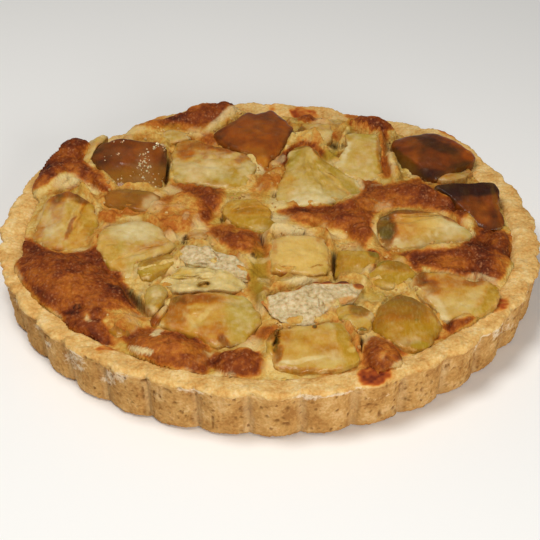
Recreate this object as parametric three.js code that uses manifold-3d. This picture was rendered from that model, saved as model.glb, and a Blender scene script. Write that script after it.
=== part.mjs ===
// A rustic apple tart: a deep fluted shortcrust shell, an almond batter that has risen into
// browned mounds, and big chunks of baked apple that stand out of it.
// Millimetres, +Z up. The origin is the middle of the flat underside.
import * as THREE from "three";
import { mergeVertices } from "three/addons/utils/BufferGeometryUtils.js";
import Module from "manifold-3d";

const wasm = await Module();
wasm.setup();
const degrees = Math.PI / 180;

// ---- Driving dimensions ----
const RIM_RADIUS = 134.5; // on a flute's crown, at the rim
const FOOT_RADIUS = 131; // on a flute's crown, at the foot
const RIM_HEIGHT = 27;
const FLUTES = 35;
const FLUTE_DEPTH = 3.4;
const FIRST_GROOVE = 8.8; // degrees round from +X
const INNER_RADIUS = 121; // of the rim's inner edge
const FLOOR_RADIUS = 116; // of the hollow, where wall and floor meet
const FLOOR_THICKNESS = 4.5;
const GAP = 0.3; // between two pieces that touch
const BATTER_EDGE = 25.5; // height of the batter where it meets the crust
const BATTER_RISE = 3; // how much higher the batter stands in the middle
const MOUND_FOOT = 23; // every mound springs from this height
const BATTER_REACH = 131; // the furthest a mound spreads out over the rim
const GRID_STEP = 7.5; // of the batter's facets
const CHUNK_FOOT = 15; // how deep a chunk's underside lies

// ---- The tart isn't quite round: where it bulges or draws in, and its rim stands or sinks ----
// The place and the spread are in degrees, the outward push and the rise in millimetres.
const SWELLS = [
  { at: 43, spread: 9, out: 3, rise: 2 },
  { at: 64, spread: 8, out: -1, rise: -1.5 },
  { at: 97, spread: 14, out: 1.1, rise: 0 },
  { at: 128, spread: 6, out: -2.5, rise: -3 },
  { at: 155, spread: 10, out: 1, rise: 0.6 },
  { at: 215, spread: 20, out: -1.3, rise: 0 },
  { at: 283, spread: 24, out: 1.2, rise: 0 },
  { at: 340, spread: 9, out: 1.5, rise: 0.5 },
];

function swelling(angle, key) {
  return SWELLS.reduce((sum, swell) => {
    const apart = Math.abs(((angle / degrees - swell.at + 540) % 360) - 180) / swell.spread;
    return sum + swell[key] * Math.exp(-apart * apart);
  }, 0);
}

// The rim is cut by hand, so its height and its inner edge wander.
const wander = (angle, size, phase) =>
  size * (0.6 * Math.sin(3 * angle + phase) + 0.4 * Math.sin(7 * angle + 2.1 * phase));
const rimHeight = (angle) => RIM_HEIGHT + wander(angle, 0.6, 1.3) + swelling(angle, "rise");
const innerRadius = (angle) => INNER_RADIUS + wander(angle, 1, 4) + swelling(angle, "out");

// How far a wall point lies inside the flute's crown: wide crowns, narrow grooves.
function fluteInset(angle) {
  const turns = ((angle / degrees - FIRST_GROOVE) * FLUTES) / 360;
  return FLUTE_DEPTH * (1 - Math.abs(Math.sin(Math.PI * turns)) ** 0.6);
}

function crownRadius(angle, height) {
  const taper = (RIM_RADIUS - FOOT_RADIUS) * (height / RIM_HEIGHT);
  return FOOT_RADIUS + taper + swelling(angle, "out");
}

// ---- Solids ----
function solidFrom(positions, triangles) {
  const geometry = new THREE.BufferGeometry();
  geometry.setAttribute("position", new THREE.Float32BufferAttribute(positions, 3));
  geometry.setIndex(triangles);
  const merged = mergeVertices(geometry, 1e-4);
  return new wasm.Manifold(
    new wasm.Mesh({
      numProp: 3,
      vertProperties: merged.attributes.position.array,
      triVerts: new Uint32Array(merged.index.array),
    }),
  );
}

// A closed body from rings of points, each joined to the next, with a point at either end.
function loft(first, rings, last) {
  const count = rings[0].length;
  const positions = [...first, ...rings.flat(2), ...last];
  const end = 1 + rings.length * count;
  const at = (ring, index) => 1 + ring * count + (index % count);
  const triangles = [];
  for (let i = 0; i < count; i++) {
    triangles.push(0, at(0, i + 1), at(0, i));
    for (let ring = 0; ring + 1 < rings.length; ring++) {
      triangles.push(at(ring, i), at(ring, i + 1), at(ring + 1, i + 1));
      triangles.push(at(ring, i), at(ring + 1, i + 1), at(ring + 1, i));
    }
    triangles.push(at(rings.length - 1, i), at(rings.length - 1, i + 1), end);
  }
  return solidFrom(positions, triangles);
}

// A ring round Z whose radius and height follow the angle.
function turnedRing(count, radius, height) {
  return Array.from({ length: count }, (_, i) => {
    const angle = (2 * Math.PI * i) / count + FIRST_GROOVE * degrees;
    const r = radius(angle);
    return [r * Math.cos(angle), r * Math.sin(angle), height(angle)];
  });
}

// ---- The crust: underside, fluted wall, uneven rim, inner wall and floor ----
function crustSolid() {
  const segments = FLUTES * 5;
  const wall = (height, less) => (angle) => crownRadius(angle, height) - fluteInset(angle) - less;
  const rings = [
    turnedRing(segments, wall(0, 1.5), () => 0),
    turnedRing(segments, wall(1.5, 0), () => 1.5),
    turnedRing(segments, wall(23, 0), () => 23),
    turnedRing(segments, wall(RIM_HEIGHT, 0.7), (angle) => rimHeight(angle) - 1.2),
    turnedRing(segments, wall(RIM_HEIGHT, 2.6), rimHeight),
    turnedRing(segments, (angle) => innerRadius(angle) + 2.5, (angle) => rimHeight(angle) - 0.7),
    turnedRing(segments, innerRadius, (angle) => rimHeight(angle) - 3),
    turnedRing(segments, () => FLOOR_RADIUS, () => FLOOR_THICKNESS),
  ];
  return loft([0, 0, 0], rings, [0, 0, FLOOR_THICKNESS]);
}

// All the room over the crust's inner faces, with the gap: what fills the tart is cut to it.
function roomOverCrust() {
  const segments = FLUTES * 2;
  const ceiling = 70;
  const overRim = (angle) => rimHeight(angle) + 2 * GAP;
  const rings = [
    turnedRing(segments, () => FLOOR_RADIUS - 2 * GAP, () => FLOOR_THICKNESS + GAP),
    turnedRing(segments, (angle) => innerRadius(angle) - 2 * GAP, (angle) => rimHeight(angle) - 3),
    turnedRing(segments, (angle) => innerRadius(angle) + 2, overRim),
    turnedRing(segments, () => BATTER_REACH, overRim),
    turnedRing(segments, () => BATTER_REACH, () => ceiling),
  ];
  return loft([0, 0, FLOOR_THICKNESS + GAP], rings, [0, 0, ceiling]);
}

// ---- The batter ----
// Each mound is a dome over an oval: where it is, its size, its turn in degrees and its height.
const MOUNDS = [
  // left, back and right, against the rim
  { at: [-104, 69], size: [28, 20], turn: 50, top: 41.5 },
  { at: [-110, 50], size: [44, 22], turn: 62, top: 36.5 },
  { at: [-88, 45], size: [34, 15], turn: -50, top: 35 },
  { at: [-63, 97], size: [44, 21], turn: 28, top: 35.5 },
  { at: [-31, 108], size: [46, 26], turn: 10, top: 40.5 },
  { at: [20, 108], size: [18, 18], turn: 0, top: 32.5 },
  { at: [57, 98], size: [34, 17], turn: -22, top: 37 },
  { at: [113, -20], size: [30, 13], turn: 80, top: 32.5 },
  // between the chunks of the back half
  { at: [67, 57], size: [38, 9], turn: 90, top: 34 },
  { at: [2, 44], size: [16, 30], turn: -20, top: 33.5 },
  { at: [-40, 20], size: [34, 24], turn: -20, top: 34.5 },
  { at: [-44, 2], size: [30, 18], turn: 10, top: 33 },
  { at: [-80, 8], size: [17, 14], turn: 0, top: 32 },
  // the long ridge that runs from the middle to the right
  { at: [76, 22], size: [54, 21], turn: -8, top: 36.5 },
  { at: [46, 13], size: [42, 16], turn: 22, top: 36 },
  { at: [22, 3], size: [38, 12], turn: 0, top: 35 },
  { at: [46, -8], size: [38, 15], turn: -75, top: 35 },
  { at: [98, 3], size: [20, 12], turn: -60, top: 33.5 },
  // the right and front right
  { at: [97, -34], size: [48, 28], turn: -12, top: 34.5 },
  { at: [84, -27], size: [42, 13], turn: 14, top: 34 },
  { at: [50, -108], size: [34, 18], turn: -75, top: 32 },
  { at: [91, -81], size: [24, 9], turn: 34, top: 30 },
  // the middle and the front left
  { at: [-14, -19], size: [32, 20], turn: -35, top: 35 },
  { at: [-92, -53], size: [88, 41], turn: -48, top: 35.5 },
  { at: [-84, -81], size: [30, 17], turn: -42, top: 31 },
  { at: [-45, -104], size: [45, 25], turn: -25, top: 33.5 },
  { at: [-13, -113], size: [24, 19], turn: 0, top: 32.5 },
];

// Where a point lies in an oval's own frame, in half sizes.
function inOval(x, y, { at, size, turn }) {
  const c = Math.cos(turn * degrees);
  const s = Math.sin(turn * degrees);
  const [dx, dy] = [x - at[0], y - at[1]];
  return [(c * dx + s * dy) / (size[0] / 2), (c * dy - s * dx) / (size[1] / 2)];
}

function batterHeight(x, y) {
  const share = Math.hypot(x, y) / INNER_RADIUS;
  const level = BATTER_EDGE + BATTER_RISE * (1 - share ** 4) - 12 * Math.max(0, share - 0.99);
  const domes = MOUNDS.map((mound) => {
    const [u, v] = inOval(x, y, mound);
    return MOUND_FOOT + (mound.top - MOUND_FOOT) * Math.sqrt(Math.max(0, 1 - u * u - v * v));
  });
  return Math.max(level, ...domes);
}

function batterSolid(room) {
  const half = Math.ceil(BATTER_REACH / GRID_STEP) + 1;
  const across = 2 * half + 1;
  const row = Array.from({ length: across }, (_, i) => (i - half) * GRID_STEP);
  const top = row.flatMap((y) => row.map((x) => [x, y, batterHeight(x, y)]));
  const bottom = row.flatMap((y) => row.map((x) => [x, y, 0]));
  const under = across * across;
  const at = (i, j) => j * across + i;
  const triangles = [];
  for (let j = 0; j + 1 < across; j++) {
    for (let i = 0; i + 1 < across; i++) {
      const [a, b, c, d] = [at(i, j), at(i + 1, j), at(i + 1, j + 1), at(i, j + 1)];
      triangles.push(a, b, c, a, c, d);
      triangles.push(under + a, under + c, under + b, under + a, under + d, under + c);
    }
  }
  const side = (a, b) => triangles.push(a, under + b, b, a, under + a, under + b);
  for (let i = 0; i + 1 < across; i++) {
    side(at(i, 0), at(i + 1, 0));
    side(at(across - 1, i), at(across - 1, i + 1));
    side(at(i + 1, across - 1), at(i, across - 1));
    side(at(0, i + 1), at(0, i));
  }
  return solidFrom([...top, ...bottom].flat(), triangles).intersect(room);
}

// ---- The apple, and two broken slabs of crumb ----
// Each chunk has its place, its length and width, its turn, the height of the middle of its top,
// how that top tilts in degrees, how square its outline is and how much it narrows to the back,
// and how far its top falls from a crown in the middle or from a ridge that runs front to back.
const PLAIN = { turn: 0, tilt: [0, 8], square: 3, narrow: 0, crown: 1.5, ridge: 0, foot: CHUNK_FOOT };
const CRUMBS = [
  { at: [-26, -39], size: [42, 17], turn: -28, top: 35, tilt: [0, 8], square: 2.6, foot: 29 },
  { at: [19, -74], size: [47, 23], turn: 14, top: 34.5, tilt: [0, 10], foot: 28 },
];
const APPLES = [
  // the back row
  { at: [-72, 57], size: [39, 40], top: 35.5, tilt: [0, 14], square: 4.5 },
  { at: [-8, 84], size: [43, 52], top: 36, tilt: [0, 6], square: 2.3, narrow: -0.35, crown: 3 },
  { at: [90, 61], size: [46, 38], turn: -14, top: 36, tilt: [0, 12], square: 2.6, crown: 3.5 },
  { at: [49, 62], size: [27, 42], top: 34.5, tilt: [0, 12], square: 5, crown: 0.8 },
  { at: [27, 87], size: [26, 22], turn: -10, top: 32, tilt: [0, 12] },
  { at: [-93, 70], size: [7, 27], turn: -10, top: 35.5 },
  { at: [-51, 86], size: [17, 14], top: 33 },
  { at: [99, 43], size: [24, 12], turn: 10, top: 30.5, tilt: [0, 10] },
  // the second row
  { at: [25, 40], size: [38, 50], top: 34.7, tilt: [0, 10], narrow: 0.55, crown: 0.5, ridge: 3 },
  { at: [103, 14], size: [34, 34], top: 33.5, tilt: [0, 20], square: 4, crown: 0 },
  { at: [-27, 57], size: [47, 46], top: 34, tilt: [0, 5], square: 2.8, crown: 2.5 },
  { at: [-71, 22], size: [28, 18], top: 32, tilt: [0, 10] },
  { at: [-102, 5], size: [32, 44], top: 33.5, tilt: [0, 9], crown: 0.5, ridge: 3.5 },
  // the middle
  { at: [-8, 7], size: [31, 27], turn: -15, top: 32.5, square: 2.6, crown: 2 },
  { at: [78, -8], size: [50, 29], turn: -4, top: 32.5, tilt: [0, 14], square: 2.4, crown: 2 },
  { at: [-65, -22], size: [38, 43], turn: 18, top: 32.5, tilt: [0, 6] },
  { at: [15, -32], size: [31, 31], top: 34, square: 5, crown: 0.8 },
  { at: [43, -37], size: [23, 22], turn: -20, top: 31, tilt: [0, 10] },
  { at: [57, -46], size: [29, 25], turn: 15, top: 33, crown: 3 },
  { at: [-34, -13], size: [12, 9], top: 31 },
  // the front
  { at: [-53, -40], size: [30, 16], turn: 40, top: 33, square: 2.3, crown: 3 },
  { at: [-29, -53], size: [38, 17], turn: -3, top: 32, tilt: [0, 14] },
  { at: [-53, -64], size: [14, 18], top: 33, square: 2.2, crown: 4 },
  { at: [-24, -82], size: [47, 38], top: 33.5, square: 3.2, ridge: 2 },
  { at: [63, -84], size: [31, 38], top: 34, tilt: [0, 8], square: 2.3, crown: 5 },
  { at: [86, -65], size: [48, 35], turn: -16, top: 32.5, square: 3.4, tilt: [0, 6] },
  { at: [19, -104], size: [45, 31], top: 32 },
  { at: [40, -83], size: [20, 20], top: 32, square: 2.5, crown: 2 },
  { at: [-50, -78], size: [7, 18], turn: -20, top: 32, ridge: 2 },
  { at: [-67, -87], size: [13, 17], top: 30, crown: 2 },
];

// The chunk's outline is drawn in at its foot and shoulder, so its edges are soft.
const CHUNK_LEVELS = [
  { inset: 0.9, height: 0 },
  { inset: 1, height: 0.88 },
  { inset: 0.86, height: 1 },
];

function chunkSolid(piece, grown) {
  const { at, size, turn, top, tilt, square, narrow, crown, ridge, foot } = { ...PLAIN, ...piece };
  const [halfLength, halfWidth] = size.map((span) => span / 2 + grown);
  const [riseX, riseY] = tilt.map((angle) => Math.tan(angle * degrees));
  const c = Math.cos(turn * degrees);
  const s = Math.sin(turn * degrees);
  const place = (u, v, share) => {
    const x = u * (1 - narrow * v) * halfLength;
    const y = v * halfWidth;
    const fall = crown * (u * u + v * v) + ridge * Math.abs(u);
    const under = foot - grown;
    const over = top + grown + x * riseX + y * riseY - fall;
    const z = under + (over - under) * share;
    return [at[0] + c * x - s * y, at[1] + s * x + c * y, z];
  };
  const segments = 12;
  const rings = CHUNK_LEVELS.map(({ inset, height }) =>
    Array.from({ length: segments }, (_, i) => {
      const angle = ((i + 0.5) * 2 * Math.PI) / segments;
      const [u, v] = [Math.cos(angle), Math.sin(angle)];
      const reach = inset * (Math.abs(u) ** square + Math.abs(v) ** square) ** (-1 / square);
      return place(u * reach, v * reach, height);
    }),
  );
  return loft(place(0, 0, 0), rings, place(0, 0, 1));
}

// ---- Fitting them together ----
const touches = (a, b) => {
  const [p, q] = [a.boundingBox(), b.boundingBox()];
  return [0, 1, 2].every((axis) => p.min[axis] < q.max[axis] && q.min[axis] < p.max[axis]);
};

const cutBy = (solid, others) =>
  others.filter((other) => touches(solid, other)).reduce((left, other) => left.subtract(other), solid);

// The largest body of a solid that a cut may have split.
const largest = (solid) => solid.decompose().sort((a, b) => b.volume() - a.volume())[0];

function meshOf(name, solid, colour, roughness) {
  const { vertProperties, triVerts } = solid.getMesh();
  const geometry = new THREE.BufferGeometry();
  geometry.setAttribute("position", new THREE.BufferAttribute(new Float32Array(vertProperties), 3));
  geometry.setIndex(new THREE.BufferAttribute(new Uint32Array(triVerts), 1));
  geometry.computeVertexNormals();
  const material = new THREE.MeshStandardMaterial({ color: colour, roughness, metalness: 0 });
  const mesh = new THREE.Mesh(geometry, material);
  mesh.name = name;
  return mesh;
}

const tart = new THREE.Group();
tart.add(meshOf("crust", crustSolid(), 0xd2a05a, 0.85));

const chunks = [
  ...CRUMBS.map((piece, index) => ({ piece, name: `crumb_${index + 1}`, colour: 0xcdbb90 })),
  ...APPLES.map((piece, index) => ({
    piece,
    name: `apple_${String(index + 1).padStart(2, "0")}`,
    colour: 0xc9a653,
  })),
];
const room = roomOverCrust();
const grown = chunks.map(({ piece }) => chunkSolid(piece, GAP));
tart.add(meshOf("batter", largest(cutBy(batterSolid(room), grown)), 0xb5682e, 0.7));

// Where two chunks meet, the later one in the tables gives way.
chunks.forEach(({ piece, name, colour }, index) => {
  const cut = cutBy(chunkSolid(piece, 0).intersect(room), grown.slice(0, index));
  tart.add(meshOf(name, largest(cut), colour, 0.4));
});

export default tart;
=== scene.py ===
# %% [markdown]
# # A rustic apple tart
#
# The real thing is a deep fluted shortcrust shell, an almond batter that rose and browned in the
# oven, and big chunks of apple that stand out of it. This script dresses the solid model of the
# tart: every solid is replaced by a piece with the same form and a finer surface.
#
# The frame comes first. It holds the solids at their real size, in metres, with +Z up.

# %% Load the frame
import bpy
import math
import numpy as np
from mathutils import Matrix, Vector


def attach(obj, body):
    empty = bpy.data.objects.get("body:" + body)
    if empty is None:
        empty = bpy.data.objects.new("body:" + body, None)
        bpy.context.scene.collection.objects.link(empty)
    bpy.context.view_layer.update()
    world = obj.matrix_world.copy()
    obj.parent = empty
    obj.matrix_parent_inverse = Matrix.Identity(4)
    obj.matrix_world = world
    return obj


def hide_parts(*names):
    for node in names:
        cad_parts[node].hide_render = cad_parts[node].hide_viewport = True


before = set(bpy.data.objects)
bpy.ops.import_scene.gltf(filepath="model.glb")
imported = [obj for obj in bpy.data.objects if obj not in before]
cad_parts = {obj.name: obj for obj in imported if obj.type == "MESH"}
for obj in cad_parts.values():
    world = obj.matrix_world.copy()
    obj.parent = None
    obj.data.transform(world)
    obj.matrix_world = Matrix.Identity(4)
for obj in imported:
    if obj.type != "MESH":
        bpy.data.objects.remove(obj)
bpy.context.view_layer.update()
MM = 0.001

# %% [markdown]
# ## The camera
#
# The photograph looks down at the tart from about 33 degrees. A lens of about 106 mm, six rim
# radii away, gives its mild perspective. The tart sits a little high in the picture, so the
# camera is aimed a little below the middle of the tart, which needs no lens shift. The picture
# leans by half a degree, which is the last turn.

# %% Camera
ELEVATION = math.radians(33.0)
DISTANCE = 810.0
AIM_HEIGHT = 13.4
FOCAL_PIXELS = 1593.6
FRAME_PIXELS = 540
CENTRE_PIXEL = (268.1, 250.9)
LEAN = math.radians(0.49)
CAMERA_AT = np.array(
    [0.0, -DISTANCE * math.cos(ELEVATION), DISTANCE * math.sin(ELEVATION) + AIM_HEIGHT]
)

camera_data = bpy.data.cameras.new("camera")
camera_data.sensor_width = 36.0
camera_data.lens = camera_data.sensor_width * FOCAL_PIXELS / FRAME_PIXELS
camera = bpy.data.objects.new("camera", camera_data)
bpy.context.scene.collection.objects.link(camera)
tip_down = math.atan((FRAME_PIXELS / 2 - CENTRE_PIXEL[1]) / FOCAL_PIXELS)
turn_right = math.atan((FRAME_PIXELS / 2 - CENTRE_PIXEL[0]) / FOCAL_PIXELS)
aim = Matrix.Rotation(math.pi / 2 - ELEVATION, 4, "X") @ Matrix.Rotation(-LEAN, 4, "Z")
aim = aim @ Matrix.Rotation(-turn_right, 4, "Y") @ Matrix.Rotation(-tip_down, 4, "X")
camera.matrix_world = Matrix.Translation(CAMERA_AT * MM) @ aim
bpy.context.scene.camera = camera
print("lens", round(camera_data.lens, 1), "mm, aimed", round(math.degrees(tip_down), 2), "degrees low")

# %% [markdown]
# ## The light
#
# A product photograph of food is lit by one large soft light above, with a second one near the
# camera, in a pale room that fills the shadows. Area lights are used, because their size sets how
# soft the shadows and how broad the glints on the wet apple are. The floor is a pale sheet.

# %% Light and floor
def area_light(name, place, size, watts, colour):
    data = bpy.data.lights.new(name, "AREA")
    data.shape = "DISK"
    data.size = size * MM
    data.energy = watts
    data.color = colour
    light = bpy.data.objects.new(name, data)
    bpy.context.scene.collection.objects.link(light)
    light.location = Vector(place) * MM
    light.rotation_euler = (-Vector(place)).to_track_quat("-Z", "Y").to_euler()


area_light("lamp above", (-260, -160, 940), 420, 6.2, (1.0, 0.98, 0.95))
area_light("lamp by the camera", (380, -950, 420), 420, 5.8, (1.0, 0.99, 0.97))

world = bpy.data.worlds.new("pale room")
world.use_nodes = True
world.node_tree.nodes["Background"].inputs["Color"].default_value = (1.0, 1.0, 1.0, 1.0)
world.node_tree.nodes["Background"].inputs["Strength"].default_value = 0.19
bpy.context.scene.world = world
bpy.context.scene.view_settings.view_transform = "Standard"

bpy.ops.object.select_all(action="DESELECT")
bpy.ops.mesh.primitive_plane_add(size=6.0, location=(0, 0, -0.0005))
floor = bpy.context.object
floor.name = "floor"

# %% [markdown]
# ## Colours and nodes
#
# Colours are written as sRGB hex values, as they are picked, and turned to the linear values
# that the renderer works in. One small function adds a node with its settings and links.
# A Mix node for colours has its share on input 0, its colours on 6 and 7, and its result on
# output 2. A Map Range node takes its ranges from inputs 1 to 4.

# %% Colour and node helpers
def linear(hex_colour):
    channels = [int(hex_colour[i : i + 2], 16) / 255 for i in (1, 3, 5)]
    straight = [c / 12.92 if c <= 0.04045 else ((c + 0.055) / 1.055) ** 2.4 for c in channels]
    return (*straight, 1.0)


def add_node(tree, kind, inputs=None, output=0, stops=None, **settings):
    """Adds a node and gives its output, or with output None the node itself. An input is given
    a value, a hex colour, or another node's output to link to. Stops are those of a ramp."""
    node = tree.nodes.new("ShaderNode" + kind)
    for key, value in settings.items():
        setattr(node, key, value)
    if stops:
        elements = node.color_ramp.elements
        elements[0].position, elements[1].position = stops[0][0], stops[-1][0]
        for position, _ in stops[1:-1]:
            elements.new(position)
        for element, (_, tone) in zip(elements, stops):
            element.color = linear(tone) if isinstance(tone, str) else (tone, tone, tone, 1)
    for key, value in (inputs or {}).items():
        if isinstance(value, bpy.types.NodeSocket):
            tree.links.new(value, node.inputs[key])
        else:
            node.inputs[key].default_value = linear(value) if isinstance(value, str) else value
    return node if output is None else node.outputs[output]


def new_material(name):
    material = bpy.data.materials.new(name)
    material.use_nodes = True
    tree = material.node_tree
    return material, tree, tree.nodes["Principled BSDF"]


def set_shader(tree, shader, colour, bump, constants):
    """Links the colour and the bump to the shader, and sets its constants on its own sockets."""
    tree.links.new(colour, shader.inputs["Base Color"])
    tree.links.new(bump, shader.inputs["Normal"])
    for socket, value in constants.items():
        shader.inputs[socket].default_value = value


floor_material, tree, shader = new_material("matte white paper")
shader.inputs["Base Color"].default_value = linear("#F6F5F2")
shader.inputs["Roughness"].default_value = 0.9
floor.data.materials.append(floor_material)

# %% [markdown]
# ## Shapes as functions
#
# A point of a mesh is moved by functions of its place, as a sculptor's brush would move it, but
# the same way on each run. Here are the ones that several pieces share: an even random grain,
# billowing lumps, a soft step, and a point's place in the frame of a turned oval.

# %% Shape helpers
def select_only(thing):
    bpy.ops.object.select_all(action="DESELECT")
    thing.select_set(True)
    bpy.context.view_layer.objects.active = thing


def points_of(thing):
    flat = np.empty(len(thing.data.vertices) * 3)
    thing.data.vertices.foreach_get("co", flat)
    return flat.reshape(-1, 3) / MM


def set_points(thing, points):
    thing.data.vertices.foreach_set("co", (points * MM).ravel())
    thing.data.update()


def store(thing, name, values):
    attribute = thing.data.attributes.new(name, "FLOAT", "POINT")
    attribute.data.foreach_set("value", np.clip(values, 0, 1).astype(np.float32))


def step(low, high, value):
    share = np.clip((value - low) / (high - low), 0, 1)
    return share * share * (3 - 2 * share)


def grain(points, size, seed):
    """Smooth random values from -1 to 1 that change over about size mm."""
    scaled = points / size + seed * 17.31
    cell = np.floor(scaled).astype(np.int64)
    part = scaled - cell
    part = part * part * (3 - 2 * part)
    total = np.zeros(len(points))
    for corner in range(8):
        offset = np.array([corner & 1, corner >> 1 & 1, corner >> 2 & 1])
        x, y, z = (cell + offset).T
        mixed = (x * 73856093) ^ (y * 19349663) ^ (z * 83492791) ^ (seed * 2654435)
        mixed = (mixed ^ (mixed >> 13)) * 1274126177 & 0x7FFFFFFF
        random = (mixed ^ (mixed >> 16)) % 65536 / 32767.5 - 1
        total += random * np.prod(np.where(offset, part, 1 - part), axis=1)
    return total


def billow(points, size, seed):
    """Round lumps with creases between them, from 0 in a crease to 1."""
    return np.minimum(1, 1.7 * np.abs(grain(points, size, seed)))


def in_oval(x, y, at, size, turn):
    """The place of points in an oval's own frame, in half sizes."""
    c, s = math.cos(math.radians(turn)), math.sin(math.radians(turn))
    dx, dy = x - at[0], y - at[1]
    return (c * dx + s * dy) / (size[0] / 2), (c * dy - s * dx) / (size[1] / 2)


def new_ring(thing):
    """Extrudes a mesh's open edge in place and says which points are new."""
    select_only(thing)
    bpy.ops.object.mode_set(mode="EDIT")
    bpy.ops.mesh.select_mode(type="EDGE")
    bpy.ops.mesh.select_all(action="DESELECT")
    bpy.ops.mesh.select_non_manifold(extend=False)
    bpy.ops.mesh.extrude_region_move(TRANSFORM_OT_translate={"value": (0, 0, 0)})
    bpy.ops.object.mode_set(mode="OBJECT")
    chosen = np.zeros(len(thing.data.vertices), bool)
    thing.data.vertices.foreach_get("select", chosen)
    return chosen


def close_underneath(thing):
    """Draws a mesh's open edge together to one point, and turns every face outwards."""
    new_ring(thing)
    bpy.ops.object.mode_set(mode="EDIT")
    bpy.ops.mesh.merge(type="CENTER")
    bpy.ops.mesh.select_all(action="SELECT")
    bpy.ops.mesh.normals_make_consistent(inside=False)
    bpy.ops.object.mode_set(mode="OBJECT")


def roughen(thing, name, kind, size, strength, **settings):
    """Pushes a surface in and out along its normals by a procedural texture, and applies it."""
    texture = bpy.data.textures.new(name, kind)
    texture.noise_scale = size * MM
    for key, value in settings.items():
        setattr(texture, key, value)
    modifier = thing.modifiers.new(name, "DISPLACE")
    modifier.texture = texture
    modifier.texture_coords = "LOCAL"
    modifier.strength = strength * MM
    modifier.mid_level = 0.5
    select_only(thing)
    bpy.ops.object.modifier_apply(modifier=name)


def push(thing, amount):
    """Moves each point along its normal, by an amount in mm."""
    normals = np.empty(len(thing.data.vertices) * 3)
    thing.data.vertices.foreach_get("normal", normals)
    set_points(thing, points_of(thing) + normals.reshape(-1, 3) * amount[:, None])


def finish_piece(thing, material, node):
    """Gives a piece its material, and says which solid it replaces."""
    thing.data.materials.clear()
    thing.data.materials.append(material)
    select_only(thing)
    bpy.ops.object.shade_smooth()
    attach(thing, "root")
    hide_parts(node)


# %% [markdown]
# ## Dabs of the oven's brush
#
# The oven browned the tart in patches, and apple juice soaked it in others. Those patches are
# soft ovals, as a painter would dab them on, and each is read off the photograph as seen from
# the camera, at the level of the tart's tops. So a point takes the dab that lies on its line of
# sight. The values are stored on the mesh, so they stay where they are in every other view.
#
# A dab is its effect, its middle x and y, its length and width and its turn, and how much. The
# effects are brown for baking, green for soaked yellow-green flesh, pale for whitish flesh, crumb
# or flour, honey for syrupy gold, sugar for strewn sugar, and lift for relief in millimetres. On a
# few chunks of apple, small pale dabs are painted highlights, and some brown and green dabs are
# painted shade in holes, slits and recesses. A patch is a bigger dab with corners: its effect, how
# much, how soft its edge is, its corners.

# %% Dabs
SEEN_LEVEL = 33.0


def seen(points):
    """Where the line of sight through each point meets the level of the tops."""
    share = (CAMERA_AT[2] - SEEN_LEVEL) / (CAMERA_AT[2] - points[:, 2])
    return CAMERA_AT + (points - CAMERA_AT) * share[:, None]


def inside_by(x, y, corners):
    """How far each place lies inside a shape with these corners, in mm. Outside is negative."""
    nearest = np.full(len(x), 1000.0)
    inside = np.zeros(len(x), bool)
    for (x0, y0), (x1, y1) in zip(corners, corners[1:] + corners[:1]):
        dx, dy = x1 - x0, y1 - y0
        share = np.clip(((x - x0) * dx + (y - y0) * dy) / (dx * dx + dy * dy), 0, 1)
        nearest = np.minimum(nearest, np.hypot(x - x0 - share * dx, y - y0 - share * dy))
        if dy:
            inside ^= ((y0 > y) != (y1 > y)) & (x < x0 + (y - y0) * dx / dy)
    return np.where(inside, nearest, -nearest)


def dabbed(points, dabs, effect):
    """How much of an effect each point gets from all the dabs, whose edges wander a little."""
    place = seen(points)
    x = place[:, 0] + 0.8 * grain(points, 5, 11) + 0.5 * grain(points, 2.2, 12)
    y = place[:, 1] + 1.1 * grain(points, 6, 13) + 0.7 * grain(points, 2.5, 14)
    total = np.zeros(len(points))
    for dab in dabs:
        if dab[0] != effect:
            continue
        if isinstance(dab[-1], list):
            _, much, soft, corners = dab
            total += much * step(-soft, soft, inside_by(x, y, corners))
        else:
            _, at_x, at_y, length, width, turn, much = dab
            u, v = in_oval(x, y, (at_x, at_y), (length, width), turn)
            total += much * step(1.4, 0.55, np.hypot(u, v))
    return total


# %% [markdown]
# ## The tart's outline
#
# The tin has 35 flutes, but the tart isn't quite round: it bulges and draws in, and its rim was
# trimmed by hand. The outline is the tin's, with a few swells added where the photograph shows
# them. Each has its place and spread in degrees, and its push and rise in millimetres.

# %% Outline
RIM_HEIGHT = 27.0
INNER_RADIUS = 121.0
FLUTES = 35
FLUTE_DEPTH = 3.8
FIRST_GROOVE = 8.8
GROOVE_RADIUS = 131.0
SWELLS = [
    {"at": 43, "spread": 9, "out": 3.0, "rise": 2.0},
    {"at": 64, "spread": 8, "out": -1.0, "rise": -1.5},
    {"at": 97, "spread": 14, "out": 1.1, "rise": 0.0},
    {"at": 128, "spread": 6, "out": -2.5, "rise": -3.0},
    {"at": 155, "spread": 10, "out": 1.0, "rise": 0.6},
    {"at": 215, "spread": 20, "out": -1.3, "rise": 0.0},
    {"at": 283, "spread": 24, "out": 1.2, "rise": 0.0},
    {"at": 340, "spread": 9, "out": 1.5, "rise": 0.5},
]


def swelling(angle, key):
    total = np.zeros_like(angle)
    for swell in SWELLS:
        apart = np.abs((np.degrees(angle) - swell["at"] + 540) % 360 - 180) / swell["spread"]
        total += swell[key] * np.exp(-apart * apart)
    return total


def wander(angle, size, phase):
    return size * (0.6 * np.sin(3 * angle + phase) + 0.4 * np.sin(7 * angle + 2.1 * phase))


def rim_height(angle):
    return RIM_HEIGHT + wander(angle, 0.6, 1.3) + swelling(angle, "rise")


def inner_radius(angle):
    return INNER_RADIUS + wander(angle, 1.0, 4.0) + swelling(angle, "out")


def groove_share(angle):
    """1 at the bottom of a groove between two flutes, 0 on a flute's crown."""
    turns = (np.degrees(angle) - FIRST_GROOVE) * FLUTES / 360
    return 1 - np.abs(np.sin(math.pi * turns)) ** 0.6


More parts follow.
